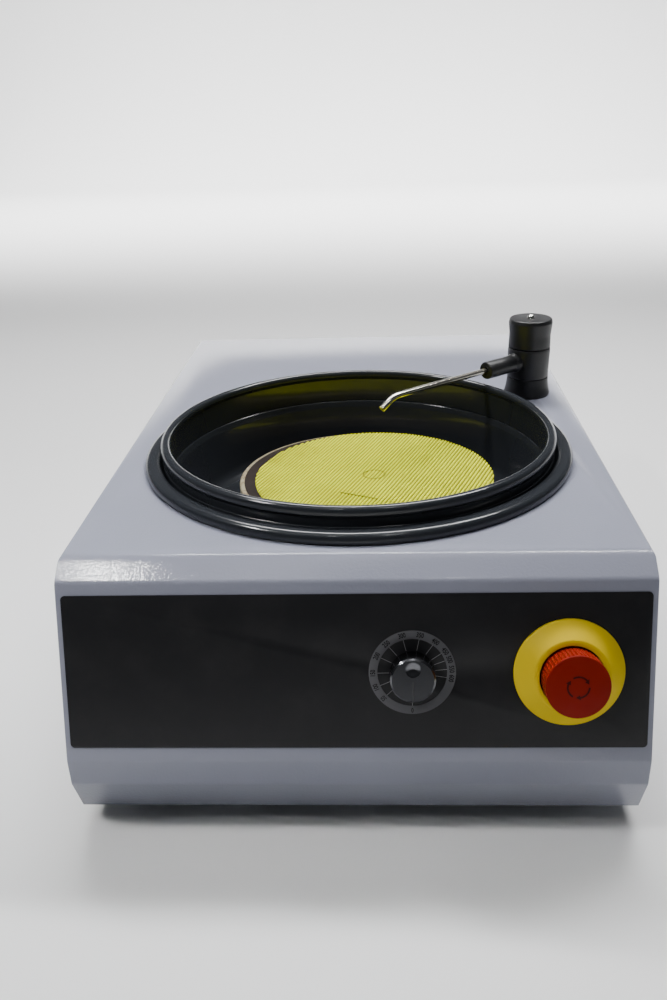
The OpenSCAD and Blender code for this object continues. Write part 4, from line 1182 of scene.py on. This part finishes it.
# %% Housing screws
def screw_tree():
    tree, start, end = new_tree("screws_on_points", [
        ("Part", "NodeSocketObject", None), ("Turn", "NodeSocketVector", (0, 0, 0)),
        ("Material", "NodeSocketMaterial", None)])
    copies = tree.nodes.new("GeometryNodeInstanceOnPoints")
    tree.links.new(start.outputs["Geometry"], copies.inputs["Points"])
    tree.links.new(part_info(tree, start), copies.inputs["Instance"])
    tree.links.new(start.outputs["Turn"], copies.inputs["Rotation"])
    link_end(tree, copies.outputs["Instances"], start, end)
    return tree


def housing_screws():
    far_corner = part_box("housing_cover")[1]
    rear, half_w = far_corner.y, far_corner.x
    panel_low, panel_high = (corner.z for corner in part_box("rear_panel"))
    side_x, inset = half_w - 16.5 * MM, 7 * MM
    back = [(x, rear, z * MM) for x in (-side_x, side_x) for z in (65, 140)]
    back += [(x * MM, rear, z) for x in (-165, -55, 55, 165) for z in (panel_low + inset, panel_high - inset)]
    sides = [AXIS.y + d * MM for d in (-150, 90, 330)]
    quarter = math.radians(90)
    walls = [(back, (-quarter, 0, 0), False)]
    for side in (1, -1):
        walls.append(([(side * half_w, y, 30 * MM) for y in sides], (0, side * quarter, 0), True))
    tree = screw_tree()
    meshes = []
    for points, turn, flush in walls:
        part = screw_head(flush)
        cloud = bpy.data.meshes.new("points")
        cloud.from_pydata(points, [], [])
        values = {"Part": part, "Turn": turn, "Material": MATERIALS["dark_screws"]}
        meshes.append(grow("screws", tree, values, cloud))
        bpy.data.objects.remove(part)
    mesh = join_meshes("housing_screw_heads", meshes)
    add_piece("housing_screw_heads", mesh, "base", "dark_screws", ("housing_screws",))


housing_screws()

# %% [markdown]
# The hose fittings behind the machine: a barbed steel spigot for the drain, and a brass nipple with
# thread ridges for the water. Both are turned, with an open bore.

# %% Hose fittings
def fittings():
    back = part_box("housing_cover")[1].y
    barbs = [8 + 5 * k for k in range(4)]
    threads = [8 + 1.6 * k for k in range(10)]
    for node, radius, bore, places, depth, slot in (
            ("drain_spigot", 9.5, 7.5, barbs, 0.7, "spigot_steel"),
            ("water_inlet", 10.0, 5.0, threads, 0.6, "brass")):
        low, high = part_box(node)
        middle = (low + high) / 2
        reach = (high.y - back) / MM
        start = (low.y - back) / MM
        width = places[1] - places[0]
        shank = radius - 0.6
        outline = [(bore, start), (shank, start), (shank, 3.0), (radius, 3.0), (radius, places[0] - 0.4)]
        for y in places:
            outline += [(radius - depth, y), (radius, y + width * 0.45)]
        outline += [(radius - depth, reach - 1.2), (radius - depth - 0.8, reach), (bore, reach)]
        turn = Matrix.Rotation(math.radians(-90), 4, "X")
        place = Matrix.Translation((middle.x, back, middle.z)) @ turn
        mesh = lathe_mesh(node + "_skin", outline, place, 64, angle=25)
        add_piece(node + "_skin", mesh, "base", slot, (node,))


fittings()

# %% [markdown]
# The drain hole of the bowl is covered by a small perforated disc. It lies in the ring-shaped floor
# beside the platen and shows only from above.

# %% Drain strainer
def drain_strainer():
    place = Matrix.Translation(AXIS + Vector((64 * MM, 111 * MM, -60.2 * MM)))
    outline = fillet([(0, 0), (10.5, 0), (10.5, 1.1), (0, 1.1)], [0, 0, 0.5, 0], 3)
    mesh = lathe_mesh("drain_strainer", outline, place, 48)
    add_piece("drain_strainer", mesh, "base", "spigot_steel")
    # The holes are not cut. Thin black discs in the rubber finish are painted shade where open holes would look
    # into the dark drain.
    hole = lathe_mesh("hole", [(0, 1.0), (1.1, 1.0), (1.1, 1.16), (0, 1.16)], Matrix.Identity(4), 12)
    for ring, count in ((3.4, 6), (7.2, 12)):
        part = part_object(hole)
        mesh = grow("drain_holes", RING_TREE, {"Radius": ring * MM, "Count": count, "Part": part,
                                               "Material": MATERIALS["rubber"]})
        bpy.data.objects.remove(part)
        mesh.transform(place)
        add_piece(f"drain_holes_{count}", mesh, "base", None)


drain_strainer()

# %% [markdown]
# Every CAD node that still shows keeps its shape and takes the finish of its slot.

# %% Finishes on the remaining CAD nodes
for entry in frame["record"]["subparts"]:
    node, slot = entry["node"], entry["material_slot"]
    mesh = frame["nodes"][node].data
    mesh.materials.clear()
    mesh.materials.append(MATERIALS[slot])
